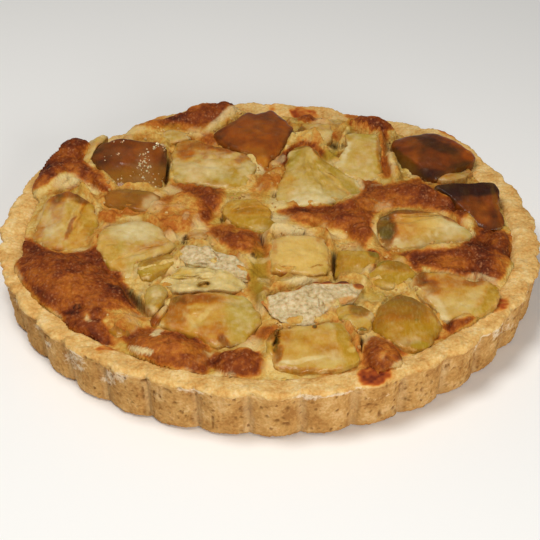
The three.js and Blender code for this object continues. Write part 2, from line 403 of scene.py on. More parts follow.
def from_groove(angle):
    """How far along the wall the nearest groove is, in mm."""
    turns = (np.degrees(angle) - FIRST_GROOVE) * FLUTES / 360
    return ((turns + 0.5) % 1 - 0.5) * 2 * math.pi * GROOVE_RADIUS / FLUTES


# %% [markdown]
# ## The shortcrust shell
#
# Shortcrust pressed into a fluted tin takes its wall from the tin and its rim from a rolling
# pin: flat on top, a little ragged, with a soft lip outside. It could be cut from a cylinder,
# but a profile spun round the middle gives even rings of points, which the flutes then follow.
# The profile is drawn as by hand, one extruded point after another, and a screw modifier without
# any rise spins it. Its points are far apart where the filling hides it, and close together
# where it shows.

# %% Spin the shell
SHELL_PROFILE = [  # radius, height and the spacing of the points up to there, in mm
    (0.0, 0.0, 1.0),
    (129.0, 0.0, 16.0),
    (130.5, 0.5, 1.0),
    (131.2, 2.0, 0.8),
    (133.5, 21.0, 0.8),
    (133.7, 23.4, 0.7),
    (134.7, 24.3, 0.5),
    (135.0, 25.6, 0.5),
    (134.4, 26.8, 0.5),
    (133.2, 27.3, 0.6),
    (127.5, 27.1, 0.8),
    (123.6, 26.3, 0.8),
    (121.6, 24.6, 0.8),
    (120.8, 22.0, 1.2),
    (116.0, 4.5, 6.0),
    (0.0, 4.5, 16.0),
]
SHELL_STEPS = FLUTES * 34


def drawn_out(profile):
    drawn = [profile[0][:2]]
    for (r0, z0, _), (r1, z1, spacing) in zip(profile, profile[1:]):
        count = max(1, round(math.hypot(r1 - r0, z1 - z0) / spacing))
        for i in range(1, count + 1):
            drawn.append((r0 + (r1 - r0) * i / count, z0 + (z1 - z0) * i / count))
    return drawn


drawn = drawn_out(SHELL_PROFILE)
bpy.ops.object.select_all(action="DESELECT")
bpy.ops.mesh.primitive_plane_add(size=1 * MM, location=(0, 0, 0))
shell = bpy.context.object
shell.name = "shortcrust_shell"
bpy.ops.object.mode_set(mode="EDIT")
bpy.ops.mesh.select_all(action="SELECT")
bpy.ops.mesh.merge(type="CENTER")
bpy.ops.transform.translate(value=(drawn[0][0] * MM, 0, drawn[0][1] * MM))
for (r0, z0), (r1, z1) in zip(drawn, drawn[1:]):
    shift = ((r1 - r0) * MM, 0, (z1 - z0) * MM)
    bpy.ops.mesh.extrude_region_move(TRANSFORM_OT_translate={"value": shift})
bpy.ops.object.mode_set(mode="OBJECT")
lathe = shell.modifiers.new("lathe", "SCREW")
lathe.axis = "Z"
lathe.angle = 2 * math.pi
lathe.steps = SHELL_STEPS
lathe.render_steps = SHELL_STEPS
lathe.use_merge_vertices = True
bpy.ops.object.modifier_apply(modifier="lathe")
bpy.ops.object.mode_set(mode="EDIT")
bpy.ops.mesh.select_all(action="SELECT")
bpy.ops.mesh.remove_doubles(threshold=0.001 * MM)
bpy.ops.mesh.normals_make_consistent(inside=False)
bpy.ops.object.mode_set(mode="OBJECT")
print("shell:", len(drawn), "rings,", len(shell.data.polygons), "faces")

# %% [markdown]
# The spun ring is still plain. Each point is now moved in by the depth of the groove at its
# angle, out by the tart's swells, and up or down with the uneven rim. The rim's lip hangs a
# little over the grooves, so they are shallower at the top.

# %% Flute the wall
points = points_of(shell)
angle = np.arctan2(points[:, 1], points[:, 0])
radius = np.hypot(points[:, 0], points[:, 1])
height = points[:, 2].copy()
visible = step(117, 127, radius)
outward = step(121, 132, radius)
groove = groove_share(angle) * step(125, 131, radius) * (1 - 0.4 * step(20, 25.5, height))
ragged = (0.8 * grain(points, 8, 3) + 0.6 * grain(points, 3.2, 4)) * step(23, 25, height)
out_move = swelling(angle, "out") - FLUTE_DEPTH * groove
in_move = inner_radius(angle) - INNER_RADIUS
moved = radius + visible * (outward * out_move + (1 - outward) * in_move + ragged)
rising = (rim_height(angle) - RIM_HEIGHT) * step(12, 25, height)
bumpy = (0.7 * grain(points, 11, 5) + 0.35 * grain(points, 4, 6)) * step(24, 27, height)
set_points(shell, np.stack([moved * np.cos(angle), moved * np.sin(angle), height + rising + bumpy], 1))
print("wall from", round(moved[height > 20].min(), 1), "to", round(moved.max(), 1), "mm")

# %% [markdown]
# Baked shortcrust has a sandy, open surface: soft lumps of a few millimetres, pits where fat
# melted out, and a grain of about one. All are pressed into the mesh, so that they also show at
# the edge of the outline. The underside is pressed flat again, as the tin kept it.

# %% Roughen the shell
PIT_DEPTH = 0.7

roughen(shell, "lumps", "CLOUDS", 6.0, 1.1, noise_depth=2)
roughen(shell, "sandy grain", "CLOUDS", 1.5, 0.8, noise_depth=1)
points = points_of(shell)
pits = step(0.55, 0.85, grain(points, 2.4, 21)) * step(0, 1.5, height)
points[:, 0] -= PIT_DEPTH * pits * np.cos(angle) * outward
points[:, 1] -= PIT_DEPTH * pits * np.sin(angle) * outward
points[:, 2] = np.where(height < 0.3, 0.0, np.maximum(points[:, 2], 0.0))
set_points(shell, points)
print("pitted points:", int((pits > 0.5).sum()))

# %% [markdown]
# Then the shell's own dabs: scorches and run juice on the rim, flour on the wall. What a material
# needs to know about a place, such as how near a groove is, is stored on the mesh too. Along the
# flutes that is painted light: a paler strip down the middle of each groove, and painted shade in
# a dark line on either side of it.

# %% Browning and flour
SHELL_DABS = [
    # orange scorches on the rim, and juice that ran over it
    ("brown", -72, -108, 10, 6, 30, 0.42),
    ("brown", -5, -128, 30, 6, -5, 0.25),
    ("brown", 0.72, 2.2, [
        (39, -126), (44, -124), (52, -126), (53, -131), (50, -136), (44, -138), (40, -136),
    ]),
    ("brown", 106, -77, 12, 7, 35, 0.45),
    ("brown", 0.56, 2.0, [(13, 104), (13, 116), (20, 118), (27, 116), (28, 104)]),
    ("brown", 98, 88, 16, 5, -50, 0.55),
    ("brown", 3, 119, 4, 8, 0, 0.35),
    ("brown", 48, 107, 10, 8, -30, 0.35),
    ("brown", -64, 103, 20, 8, 25, 0.3),
    ("brown", -126, -42, 10, 6, 90, 0.2),
    # flour left on the lip and the flutes
    ("pale", -100, -106, 10, 8, -40, 0.35),
    ("pale", -86, -118, 9, 18, 25, 0.62),
    ("pale", -67, -129, 13, 12, -25, 0.55),
    ("pale", -10, -136, 14, 8, 0, 0.5),
    ("pale", 36, -137, 16, 7, 5, 0.6),
    ("pale", 110, -95, 14, 6, 40, 0.4),
]
GROOVE_SHADE_OFFSET = 2.3  # mm from a groove's middle to the painted shade lines beside it

strayed = points.copy()
strayed[:, 0] += 1.6 * grain(points, 4, 39)
strayed[:, 1] += 1.6 * grain(points, 4, 40)
brown = dabbed(strayed, SHELL_DABS, "brown") + 0.08 * step(5, 0.5, height) * outward
brown += 0.14 * step(0.1, 0.9, grain(points, 16, 31)) * step(24, 27, height)
floury = dabbed(strayed, SHELL_DABS, "pale") * (1 + 0.5 * grain(points, 2.5, 41))
floury += 0.7 * step(0.2, 0.7, grain(points, 9, 33)) * step(12, 20, height)
on_wall = step(128, 130, radius) * step(23.8, 22, height)
sideways = from_groove(angle) + 0.5 * grain(points, 6, 35)
store(shell, "brown", brown * (1 + 0.5 * grain(points, 3, 37) + 0.3 * grain(points, 1.6, 42)))
store(shell, "flour", floury * step(5, 14, height) * outward * step(26.6, 25, height))
# Painted light on the flutes: a paler strip down the middle of each groove, and painted shade in a dark
# line on either side of it.
lit_groove_strip = step(2.7, 0.8, np.abs(sideways)) * on_wall
store(shell, "groove", lit_groove_strip * (0.8 + 0.4 * grain(points, 6, 38)))
groove_shade_lines = step(0.9, 0.2, np.abs(np.abs(sideways) - GROOVE_SHADE_OFFSET)) * on_wall
store(shell, "groove_shade", groove_shade_lines * (0.5 + 0.5 * grain(points, 5, 36)))
store(shell, "rim", step(22.5, 26.0, height))
# the pits, which the material darkens as painted shade
store(shell, "pit_shade", pits)

# %% [markdown]
# Shortcrust is flour, butter and little water, baked dry: matte, pale gold on the rim and
# toasted to biscuit brown where it touched the tin. What the eye sees on it is a grain of darker
# specks about a millimetre across, whitish flour, and a few orange scorches. Its colours are
# two ramps over a grain, one for the wall and one for the rim, mixed by what is stored on the mesh.
# The flutes also get painted light: a paler strip down each groove, and a line of painted shade
# beside it.

# %% Baked shortcrust
SHORTCRUST_GRAIN = 1.3 * MM
SHORTCRUST_CLOUD = 9 * MM
SHORTCRUST_SPECK = 2.6 * MM
WALL_TONES = [(0.36, "#A27038"), (0.46, "#B8884A"), (0.54, "#C59757"), (0.64, "#D5AC73")]
RIM_TONES = [(0.34, "#BC8440"), (0.44, "#D0A05A"), (0.53, "#DBB26C"), (0.64, "#E6C78C")]
SCORCH_TONES = [(0.0, "#E0A95C"), (0.3, "#CF8637"), (0.55, "#A84E1C"), (0.9, "#642414")]

shortcrust, tree, shader = new_material("baked shortcrust")
place = add_node(tree, "TexCoord", output="Object")
stored = {
    name: add_node(tree, "Attribute", output="Fac", attribute_name=name)
    for name in ("brown", "flour", "groove", "groove_shade", "rim", "pit_shade")
}
sand = add_node(tree, "TexNoise", {"Vector": place, "Scale": 1 / SHORTCRUST_GRAIN, "Detail": 3.0})
cloud = add_node(tree, "TexNoise", {"Vector": place, "Scale": 1 / SHORTCRUST_CLOUD, "Detail": 4.0})
mottled = add_node(tree, "Math", {0: sand, 1: 0.4}, operation="MULTIPLY")
mottled = add_node(tree, "Math", {0: cloud, 1: 0.6, 2: mottled}, operation="MULTIPLY_ADD")
wall = add_node(tree, "ValToRGB", {0: mottled}, stops=WALL_TONES)
rim = add_node(tree, "ValToRGB", {0: mottled}, stops=RIM_TONES)
colour = add_node(tree, "Mix", {0: stored["rim"], 6: wall, 7: rim}, 2, data_type="RGBA")
# painted light: the strip down each groove is made paler, and the lines beside it darker as painted shade
for name, strength, tone in (("groove", 0.28, "#C9B186"), ("groove_shade", 0.42, "#7C522A")):
    share = add_node(tree, "Math", {0: stored[name], 1: strength}, operation="MULTIPLY")
    colour = add_node(tree, "Mix", {0: share, 6: colour, 7: tone}, 2, data_type="RGBA")
dusty = add_node(tree, "Math", {0: sand, 1: 1.2, 2: stored["flour"]}, operation="MULTIPLY_ADD")
dusty = add_node(tree, "MapRange", {0: dusty, 1: 0.95, 2: 1.35, 4: 0.8})
colour = add_node(tree, "Mix", {0: dusty, 6: colour, 7: "#E6D2B2"}, 2, data_type="RGBA")

# %% [markdown]
# The darker specks are the cells of a Voronoi pattern. A noise pushes the cells out of shape
# first, so that they aren't round, and only some of them are dark. The pressed pits take the
# specks' dark colour too, as painted shade. The scorches come last, by the stored browning, and
# the relief is the grain itself.

# %% Specks, scorches and relief
ragged = add_node(
    tree, "TexNoise", {"Vector": place, "Scale": 1 / SHORTCRUST_SPECK, "Detail": 3.0}, "Color"
)
ragged = add_node(
    tree, "VectorMath", {0: ragged, 1: (3.0 * MM,) * 3, 2: place}, operation="MULTIPLY_ADD"
)
cells = add_node(tree, "TexVoronoi", {"Vector": ragged, "Scale": 1 / SHORTCRUST_SPECK}, None)
speck = add_node(tree, "ValToRGB", {0: cells.outputs["Distance"]}, stops=[(0.14, 1.0), (0.42, 0.0)])
some = add_node(tree, "SeparateColor", {0: cells.outputs["Color"]})
some = add_node(tree, "MapRange", {0: some, 1: 0.5, 2: 0.9})
speck = add_node(tree, "Math", {0: speck, 1: some}, operation="MULTIPLY")
# painted shade: the pits take the dark colour of the specks
speck = add_node(tree, "Math", {0: speck, 1: stored["pit_shade"]}, operation="MAXIMUM")
less_on_rim = add_node(tree, "MapRange", {0: stored["rim"], 3: 0.85, 4: 0.25})
speck = add_node(tree, "Math", {0: speck, 1: less_on_rim}, operation="MULTIPLY")
colour = add_node(tree, "Mix", {0: speck, 6: colour, 7: "#74491F"}, 2, data_type="RGBA")
scorch = add_node(tree, "ValToRGB", {0: stored["brown"]}, stops=SCORCH_TONES)
scorched = add_node(tree, "MapRange", {0: stored["brown"], 1: 0.04, 2: 0.35})
colour = add_node(tree, "Mix", {0: scorched, 6: colour, 7: scorch}, 2, data_type="RGBA")
bump = add_node(tree, "Bump", {"Height": mottled, "Strength": 0.6, "Distance": 0.5 * MM})
set_shader(tree, shader, colour, bump, {
    "Roughness": 0.82,
    "IOR": 1.45,
    "Specular IOR Level": 0.15,
    "Subsurface Weight": 0.08,
    "Subsurface Scale": 1.5 * MM,
})
finish_piece(shell, shortcrust, "crust")

# %% [markdown]
# ## The almond batter
#
# The batter rose round the apple in the oven. It lies almost level between the chunks, and
# swells into browned mounds and ridges. It could be sculpted, but the solid already says where
# every mound is: each is a dome over an oval, at its place, size, turn and height. So a fine grid is
# raised by the same domes. What is new is the surface: the ovals wobble, the batter clings to
# the chunks, and it is crusty where it browned.

# %% The batter's mounds
BATTER_EDGE = 25.5
BATTER_RISE = 3.0
MOUND_FOOT = 23.0
BATTER_REACH = 131.0
MOUNDS = [  # middle, length and width, turn, and the height of the top, in mm and degrees
    # left, back and right, against the rim
    ((-104, 69), (27, 19), 50, 39.5),
    ((-110, 50), (44, 22), 62, 36.5),
    ((-88, 45), (34, 15), -50, 35.0),
    ((-63, 97), (44, 21), 28, 35.5),
    ((-31, 108), (46, 26), 10, 40.5),
    ((20, 108), (18, 18), 0, 32.5),
    ((57, 98), (34, 17), -22, 37.0),
    ((113, -20), (30, 13), 80, 32.5),
    # between the chunks of the back half
    ((67, 57), (38, 9), 90, 34.0),
    ((2, 44), (16, 30), -20, 33.5),
    ((-40, 20), (34, 24), -20, 34.5),
    ((-44, 2), (30, 18), 10, 33.0),
    ((-80, 8), (17, 14), 0, 32.0),
    # the long ridge that runs from the middle to the right
    ((76, 22), (54, 21), -8, 36.5),
    ((46, 13), (42, 16), 22, 36.0),
    ((22, 3), (38, 12), 0, 35.0),
    ((46, -8), (38, 15), -75, 35.0),
    ((98, 3), (20, 12), -60, 33.5),
    # the right and front right
    ((97, -34), (48, 28), -12, 34.5),
    ((84, -27), (42, 13), 14, 34.0),
    ((50, -108), (34, 18), -75, 32.0),
    ((91, -81), (24, 9), 34, 30.0),
    # the middle and the front left
    ((-14, -19), (32, 20), -35, 35.0),
    ((-92, -53), (88, 41), -48, 35.5),
    ((-84, -81), (30, 17), -42, 31.0),
    ((-45, -104), (45, 25), -25, 33.5),
    ((-13, -113), (24, 19), 0, 32.5),
]
# lower batter that fills the ground between the mounds, which the solid leaves to this script
FILLINGS = [
    ((-112, 62), (36, 22), 62, 35.5),
    ((-98, 52), (26, 22), -50, 35.0),
    ((-47, 104), (40, 18), 22, 36.0),
    ((60, 20), (60, 24), -4, 34.6),
    ((42, 2), (34, 32), 0, 34.4),
    ((14, -2), (34, 20), -10, 32.6),
    ((-46, 12), (40, 44), 0, 33.0),
    ((-30, 24), (22, 22), 0, 34.6),
    ((105, -36), (34, 26), 80, 33.5),
    ((86, -40), (44, 22), -8, 33.5),
    ((-70, -78), (40, 22), -55, 31.5),
    ((-8, -30), (16, 30), 10, 32.5),
    ((-2, -58), (12, 40), 0, 31.0),
    ((33, 96), (40, 30), 0, 31.5),
    ((-58, 90), (44, 24), 20, 33.0),
]
BATTER_DABS = [
    # the back left: plum peak, orange arms, cream face between them
    ("brown", 0.48, 2.2, [
        (-127, 30), (-126, 52), (-121, 67), (-114, 84), (-106, 91), (-98, 88), (-95, 83), (-98, 70),
        (-98, 58), (-93, 52), (-88, 45), (-84, 36), (-81, 28), (-88, 29), (-95, 36), (-101, 44),
        (-106, 48), (-112, 42), (-118, 31),
    ]),
    ("brown", -105, 82, 18, 16, 0, 0.14),
    ("brown", -118, 50, 9, 38, 14, 0.16),
    ("brown", -105, 49, 14, 16, 0, -0.24),
    ("brown", -116, 37, 10, 16, 0, -0.2),
    ("brown", -91, 38, 12, 14, 40, -0.12),
    ("brown", -87, 45, 3, 16, 25, 0.15),
    ("pale", -105, 38, 12, 16, 0, 0.75),
    ("brown", -101, 32, 3, 8, -40, 0.35),
    # the ridge at the back
    ("brown", 0.26, 4.0, [(-70, 99), (-55, 108), (-40, 105), (-33, 97), (-45, 92), (-60, 94)]),
    ("brown", 0.42, 3.2, [
        (-56, 106), (-47, 115), (-38, 122), (-26, 129), (-18, 126), (-12, 120), (-20, 119),
        (-24, 108), (-28, 101), (-38, 98), (-48, 101),
    ]),
    ("brown", -30, 123, 26, 7, 25, 0.08),
    ("brown", -42, 102, 16, 8, 0, -0.15),
    ("pale", 0.75, 1.6, [
        (-21, 120), (-14, 119.5), (-14, 115), (-21, 107), (-28, 97), (-32, 91), (-33, 96),
    ]),
    ("brown", -17, 121, 12, 3, -20, 0.25),
    ("pale", -75, 93, 16, 10, 25, 0.5),
    ("brown", -55, 102, 10, 14, 20, 0.1),
    ("green", -52, 96, 12, 8, 0, 0.3),
    ("pale", -38, 90, 12, 10, 0, 0.4),
    ("brown", -31, 82, 10, 16, 20, 0.40),
    ("brown", -44, 80, 8, 10, 0, 0.3),
    ("brown", 0.42, 2.0, [
        (12, 114), (16, 117), (22, 116), (28, 112), (27, 103), (22, 100), (18, 103), (15, 109),
    ]),
    ("brown", 31, 104, 4, 12, 0, 0.15),
    ("pale", 30, 108, 5, 10, 0, 0.5),
    ("brown", 12, 100, 4, 14, 10, 0.15),
    # behind the block at the back right
    ("brown", 0.42, 1.8, [
        (45, 101), (48, 105.5), (53, 108), (60, 106), (66, 102), (70, 97), (71, 92), (66, 90),
        (60, 90.5), (57, 95), (52, 98), (46, 96),
    ]),
    ("brown", 50, 96, 12, 8, 0, 0.1),
    ("brown", 54, 91, 20, 2.4, 0, 0.2),
    ("brown", 0.3, 1.4, [
        (61, 90), (66, 89), (65, 76), (64, 60), (66, 48), (64, 38), (60, 38), (61, 60), (61.5, 76),
    ]),
    ("pale", 66, 56, 3, 34, 2, 0.6),
    ("brown", 38, 84, 8, 12, 0, 0.2),
    # painted shade: an olive patch in the recess between the two chunks, below the holes
    ("green", 34, 64, 7, 16, -25, 0.8),
    # the mouth of orange round the pointed chunk
    ("brown", 0.5, 1.6, [
        (7, 64), (11, 71), (15, 76), (20, 78), (26, 76), (30, 68), (32, 60), (29, 61), (26, 68),
        (21, 73), (16, 71), (12, 62), (9, 52), (5, 56),
    ]),
    ("brown", 0.18, 3.0, [
        (-7, 36), (-5, 42), (0, 44.5), (5, 42), (6, 36), (3, 30), (0, 25), (-4, 25), (-7, 29),
    ]),
    ("brown", 0, 53, 6, 12, 0, 0.2),
    ("pale", -4, 51, 4, 12, 10, 0.6),
    ("pale", 6, 58, 5, 12, -25, 0.5),
    # the long ridge
    ("brown", 0.43, 2.4, [
        (50, 36), (54, 36), (60, 32), (66, 32), (72, 35), (79, 37), (84, 31), (88, 26), (93, 20),
        (97, 12), (99, 2), (97, -1), (93, 2), (88, 6), (82, 9), (75, 11), (66, 10), (58, 7), (53, 2),
        (52, -4), (52, -12), (50, -20), (47, -27), (42, -27), (40, -18), (37, -11), (30, -11),
        (24, -8), (14, -3), (7, 2), (5, 7), (10, 11), (20, 9.5), (30, 11), (40, 15), (46, 21), (49, 28),
    ]),
    ("brown", 62, 17, 24, 12, 10, -0.08),
    ("brown", 76, 27, 20, 12, 0, 0.08),
    ("brown", 25, 9, 40, 5, 4, 0.06),
    ("brown", 16, 0, 22, 7, -15, -0.14),
    ("brown", 34, 4, 16, 12, 0, 0.02),
    ("brown", 32, -7, 18, 8, 0, -0.12),
    ("brown", 46, -22, 12, 14, 0, -0.08),
    ("brown", 57, 10, 14, 8, 20, -0.14),
    ("pale", 57, 8, 10, 6, 20, 0.15),
    ("pale", 56, 31, 8, 3, 20, 0.2),
    ("pale", 48, 33, 4, 12, 10, 0.8),
    ("pale", 4, -3, 12, 14, 0, 0.75),
    ("pale", 12, -12, 18, 9, -10, 0.95),
    ("brown", 13, -13, 14, 8, 0, -0.08),
    ("pale", 34, -17, 10, 6, 0, 0.5),
    ("brown", 98, 3, 5, 20, -12, 0.25),
    ("brown", -110.1, 52.0, 16, 18, 0, 0.12),
    ("brown", 100.0, -30.1, 22, 14, 0, 0.06),
    ("brown", 106, -12, 8, 8, 0, 0.35),
    ("pale", 99, -6, 6, 8, 0, 0.4),
    # the middle left
    ("brown", 0.12, 5.0, [(-60, 30), (-36, 32), (-28, 0), (-40, -12), (-56, -10), (-62, 8)]),
    ("brown", 0.36, 3.0, [
        (-52, 40), (-46, 38), (-39, 33), (-30, 32), (-23, 31), (-23, 22), (-25, 14), (-27, 4),
        (-30, -6), (-33, -2), (-34, 10), (-36, 20), (-43, 27), (-52, 32),
    ]),
    ("brown", -30, 25, 12, 14, 0, 0.09),
    ("brown", -49, -6, 14, 16, 0, 0.1),
    ("brown", -52, 16, 6, 16, 0, 0.12),
    ("pale", -41, 3, 3, 7, 0, 0.4),
    ("pale", -57, 12, 8, 12, 0, 0.4),
    ("brown", 0.27, 3.2, [
        (-84, 8), (-79, 11), (-72, 14), (-70, 9), (-74, 3), (-78, -4), (-82, -3), (-84.5, 2),
    ]),
    ("pale", -77, -8, 10, 8, 0, 0.4),
    ("brown", -66, 6, 10, 6, 0, 0.14),
    ("green", -14, 24, 22, 5, -10, 0.3),
    ("brown", 0.36, 2.4, [
        (-28, -10), (-23, -5), (-17, -5), (-12, -9), (-7, -13), (-3, -19), (-1, -26), (0, -34),
        (-5, -38), (-9, -32), (-14, -28), (-20, -26), (-25, -20),
    ]),
    ("brown", -19, -15, 16, 10, -40, 0.05),
    ("brown", -7, -30, 8, 10, 0, -0.08),
    ("brown", -5, -54, 8, 36, 0, 0.12),
    ("pale", 15, -56, 15, 8, 0, 1.0),
    ("brown", 7, -54, 16, 8, 0, -0.1),
    ("green", 46, -68, 14, 12, 0, 0.45),
    ("brown", 45, -69, 14, 12, 0, 0.12),
    ("green", -5, -50, 9, 44, 0, 0.9),
    # the right
    ("brown", 0.5, 2.4, [
        (65, -33), (72, -31), (80, -31), (92, -28), (98, -22), (104, -16), (110, -12), (116, -13),
        (120, -18), (119, -28), (117, -40), (113, -52), (108, -57), (104, -55), (97, -52), (92, -52),
        (86, -48), (78, -46), (71, -43), (67, -39),
    ]),
    ("brown", 104, -34, 10, 26, -18, 0.06),
    ("brown", 87, -41, 20, 11, -10, -0.14),
    ("brown", 77, -40, 12, 8, -35, 0.08),
    ("brown", 71, -46, 4, 11, 20, 0.4),
    ("brown", 112, -24, 8, 14, 0, -0.06),
    ("brown", 113, -45, 9, 20, 10, -0.22),
    ("pale", 102, -54, 14, 3, -25, 0.6),
    ("brown", 51, -33, 4, 8, 30, 0.6),
    # the big mound on the left
    ("brown", 0.45, 2.0, [
        (-122, -18), (-116, -19), (-110, -25), (-103, -29), (-95, -30), (-88, -28), (-85, -25),
        (-82, -29), (-78, -38), (-71, -47), (-67, -58), (-64, -68), (-61, -77), (-68, -79),
        (-75, -78), (-82, -80), (-88, -82), (-97, -82), (-106, -72), (-114, -59), (-119, -45),
        (-122, -32),
    ]),
    ("brown", -100, -54, 14, 30, 30, -0.06),
    ("brown", -92, -60, 16, 22, 0, -0.07),
    ("brown", -74, -57, 14, 30, 30, 0.04),
    ("brown", -70, -75, 14, 10, -30, -0.2),
    ("brown", -114, -26, 12, 10, -40, 0.06),
    ("brown", -109, -64, 6, 28, 35, 0.1),
    ("brown", -84, -34, 10, 14, 0, 0.02),
    ("brown", 0.16, 2.6, [
        (-76, -72), (-66, -68), (-62, -76), (-57, -86), (-60, -94), (-66, -98), (-72, -90), (-75, -80),
    ]),
    ("brown", 0.44, 2.0, [
        (-95, -80), (-89, -78), (-84, -82), (-83, -87), (-78, -86), (-74, -92), (-71, -100),
        (-70, -106), (-77, -104), (-86, -98), (-93, -90),
    ]),
    ("brown", -78, -83, 8, 10, 0, 0.45),
    ("pale", 0.7, 0.8, [(-84, -81), (-82, -84), (-80, -88), (-83, -87)]),
    ("pale", -62, -87, 6, 14, 30, 0.25),
    # the front left and the front
    ("brown", 0.36, 1.8, [
        (-66, -101), (-60, -94), (-55, -92), (-49, -95), (-43, -96), (-36, -98), (-31, -102),
        (-28, -108), (-25, -115), (-24, -120), (-28, -127), (-36, -125), (-46, -121), (-54, -116),
        (-61, -111),
    ]),
    ("brown", -36, -108, 8, 10, 0, -0.14),
    ("brown", -50, -108, 10, 8, -30, -0.1),
    ("brown", -62, -97, 8, 10, -30, 0.1),
    ("pale", 1.4, 0.5, [(-62, -107), (-57, -108), (-52, -111), (-52, -114), (-57, -113), (-61, -110)]),
    ("pale", 1.2, 0.4, [(-53, -99), (-52, -96), (-47.5, -94), (-48, -97), (-51, -100)]),
    ("brown", 0.52, 1.8, [
        (-23, -113), (-17, -111), (-10, -110), (-4, -112), (-2.5, -118), (-4, -127), (-10, -131),
        (-18, -129), (-25, -124), (-26, -119),
    ]),
    ("brown", -12, -121, 12, 8, 0, -0.1),
    ("pale", -20, -129, 12, 3, 0, 0.6),
    ("brown", 0.22, 2.4, [(-7, -97), (-2, -92), (3, -93), (4, -97), (0, -102), (-6, -102)]),
    ("pale", -6, -106, 6, 10, 0, 0.5),
    ("green", -4, -68, 4, 16, 0, 0.4),
    ("brown", 0.38, 1.8, [
        (44, -103), (48, -101), (54, -104), (60, -109), (61, -115), (58, -119), (55, -121),
        (53, -126), (50, -132), (44, -132), (42, -124), (42, -112),
    ]),
    ("brown", 51, -113, 3, 14, -20, -0.2),
    ("brown", 0.44, 1.5, [
        (80, -98), (80, -93), (84, -89), (90, -87), (95, -86.5), (94, -88), (88, -93), (83, -99),
    ]),
    ("brown", 102, -82, 8, 10, -40, 0.3),
    ("brown", 72, -104, 14, 3, 15, 0.2),
    ("pale", 72, -101, 8, 4, 0, 0.5),
]
# holes that steam left, and cracks beside the fruit: middle, length and width, turn, and depth
BATTER_HOLES = [
    ((-88, -76), (5.5, 4.0), 0, 4.0),
    ((-52, 92.5), (1.8, 2.2), 0, 2.5),
    ((-53, 48), (3.0, 30.0), 0, 4.0),
    ((-22.5, 0), (2.5, 8.0), -8, 4.0),
    ((3.5, 23), (2.0, 5.0), 0, 5.0),
    ((-40, -17), (4.0, 5.0), 0, 4.0),
    ((-41, -22), (5.0, 3.0), 0, 4.0),
    ((-3, -21), (1.6, 14.0), 8, 3.0),
    ((-7, -34), (2.0, 5.0), 25, 3.0),
    ((18, -13), (2.0, 3.5), 10, 3.0),
    ((102, -57), (15.0, 4.0), -22, 4.0),
    ((33, 77), (4.0, 5.0), 0, 3.5),
    ((38, 73), (8.0, 7.0), 30, 3.5),
    ((-62, -71), (5.0, 28.0), 28, 5.0),
    ((42, -97), (2.5, 4.0), 0, 5.0),
    ((41.5, -107), (1.6, 12.0), 0, 5.0),
    ((57, -18), (5.0, 24.0), 5, 4.0),
    ((32, -44), (3.5, 26.0), 0, 4.0),
]
BROWNED_TOPS = 0.12  # how brown a dome's top is, before any dab
BLEND = 1.2  # how near two surfaces are, in mm, where they begin to melt together


def batter_height(points):
    """How high the batter stands at each point, and how brown the dome there is."""
    share = np.hypot(points[:, 0], points[:, 1]) / INNER_RADIUS
    height = BATTER_EDGE + BATTER_RISE * (1 - share**4) - 12 * np.maximum(0, share - 0.99)
    x = points[:, 0] + 1.3 * grain(points, 9, 41) + 0.5 * grain(points, 3.5, 42)
    y = points[:, 1] + 1.3 * grain(points, 9, 43) + 0.5 * grain(points, 3.5, 44)
    browned = np.zeros(len(points))
    for at, size, turn, top in MOUNDS + FILLINGS:
        u, v = in_oval(x, y, at, size, turn)
        dome = np.sqrt(np.maximum(0, 1 - u * u - v * v))
        swollen = MOUND_FOOT + (top - MOUND_FOOT) * dome
        reach = np.where(swollen > height - 1, BROWNED_TOPS * step(0.3, 0.8, dome), 0)
        browned = np.maximum(browned, reach)
        gap = np.abs(height - swollen)
        blend = np.maximum(0, BLEND - gap) ** 2 / (4 * BLEND)
        height = np.where(dome > 0, np.maximum(height, swollen) + blend, height)
    return height, browned


# %% [markdown]
# ## The chunks' places
#
# The apple was cut by hand into blocks, wedges and slices. Each chunk keeps the place, size,
# turn, height, tilt and crown of its solid, and adds the corners of its outline and its own dabs.
# Its base is how brown, green and pale the whole chunk is, its strength how much its brown dabs
# count, and lumps and grainy say how rough its surface is, in mm. Where a chunk stands out, the
# batter ends some mm lower on it than on its neighbours. A fold is a line on the top, through a
# point and square to its downhill direction, beyond which the top falls away by an angle. What a
# chunk doesn't say is as in the plain one.

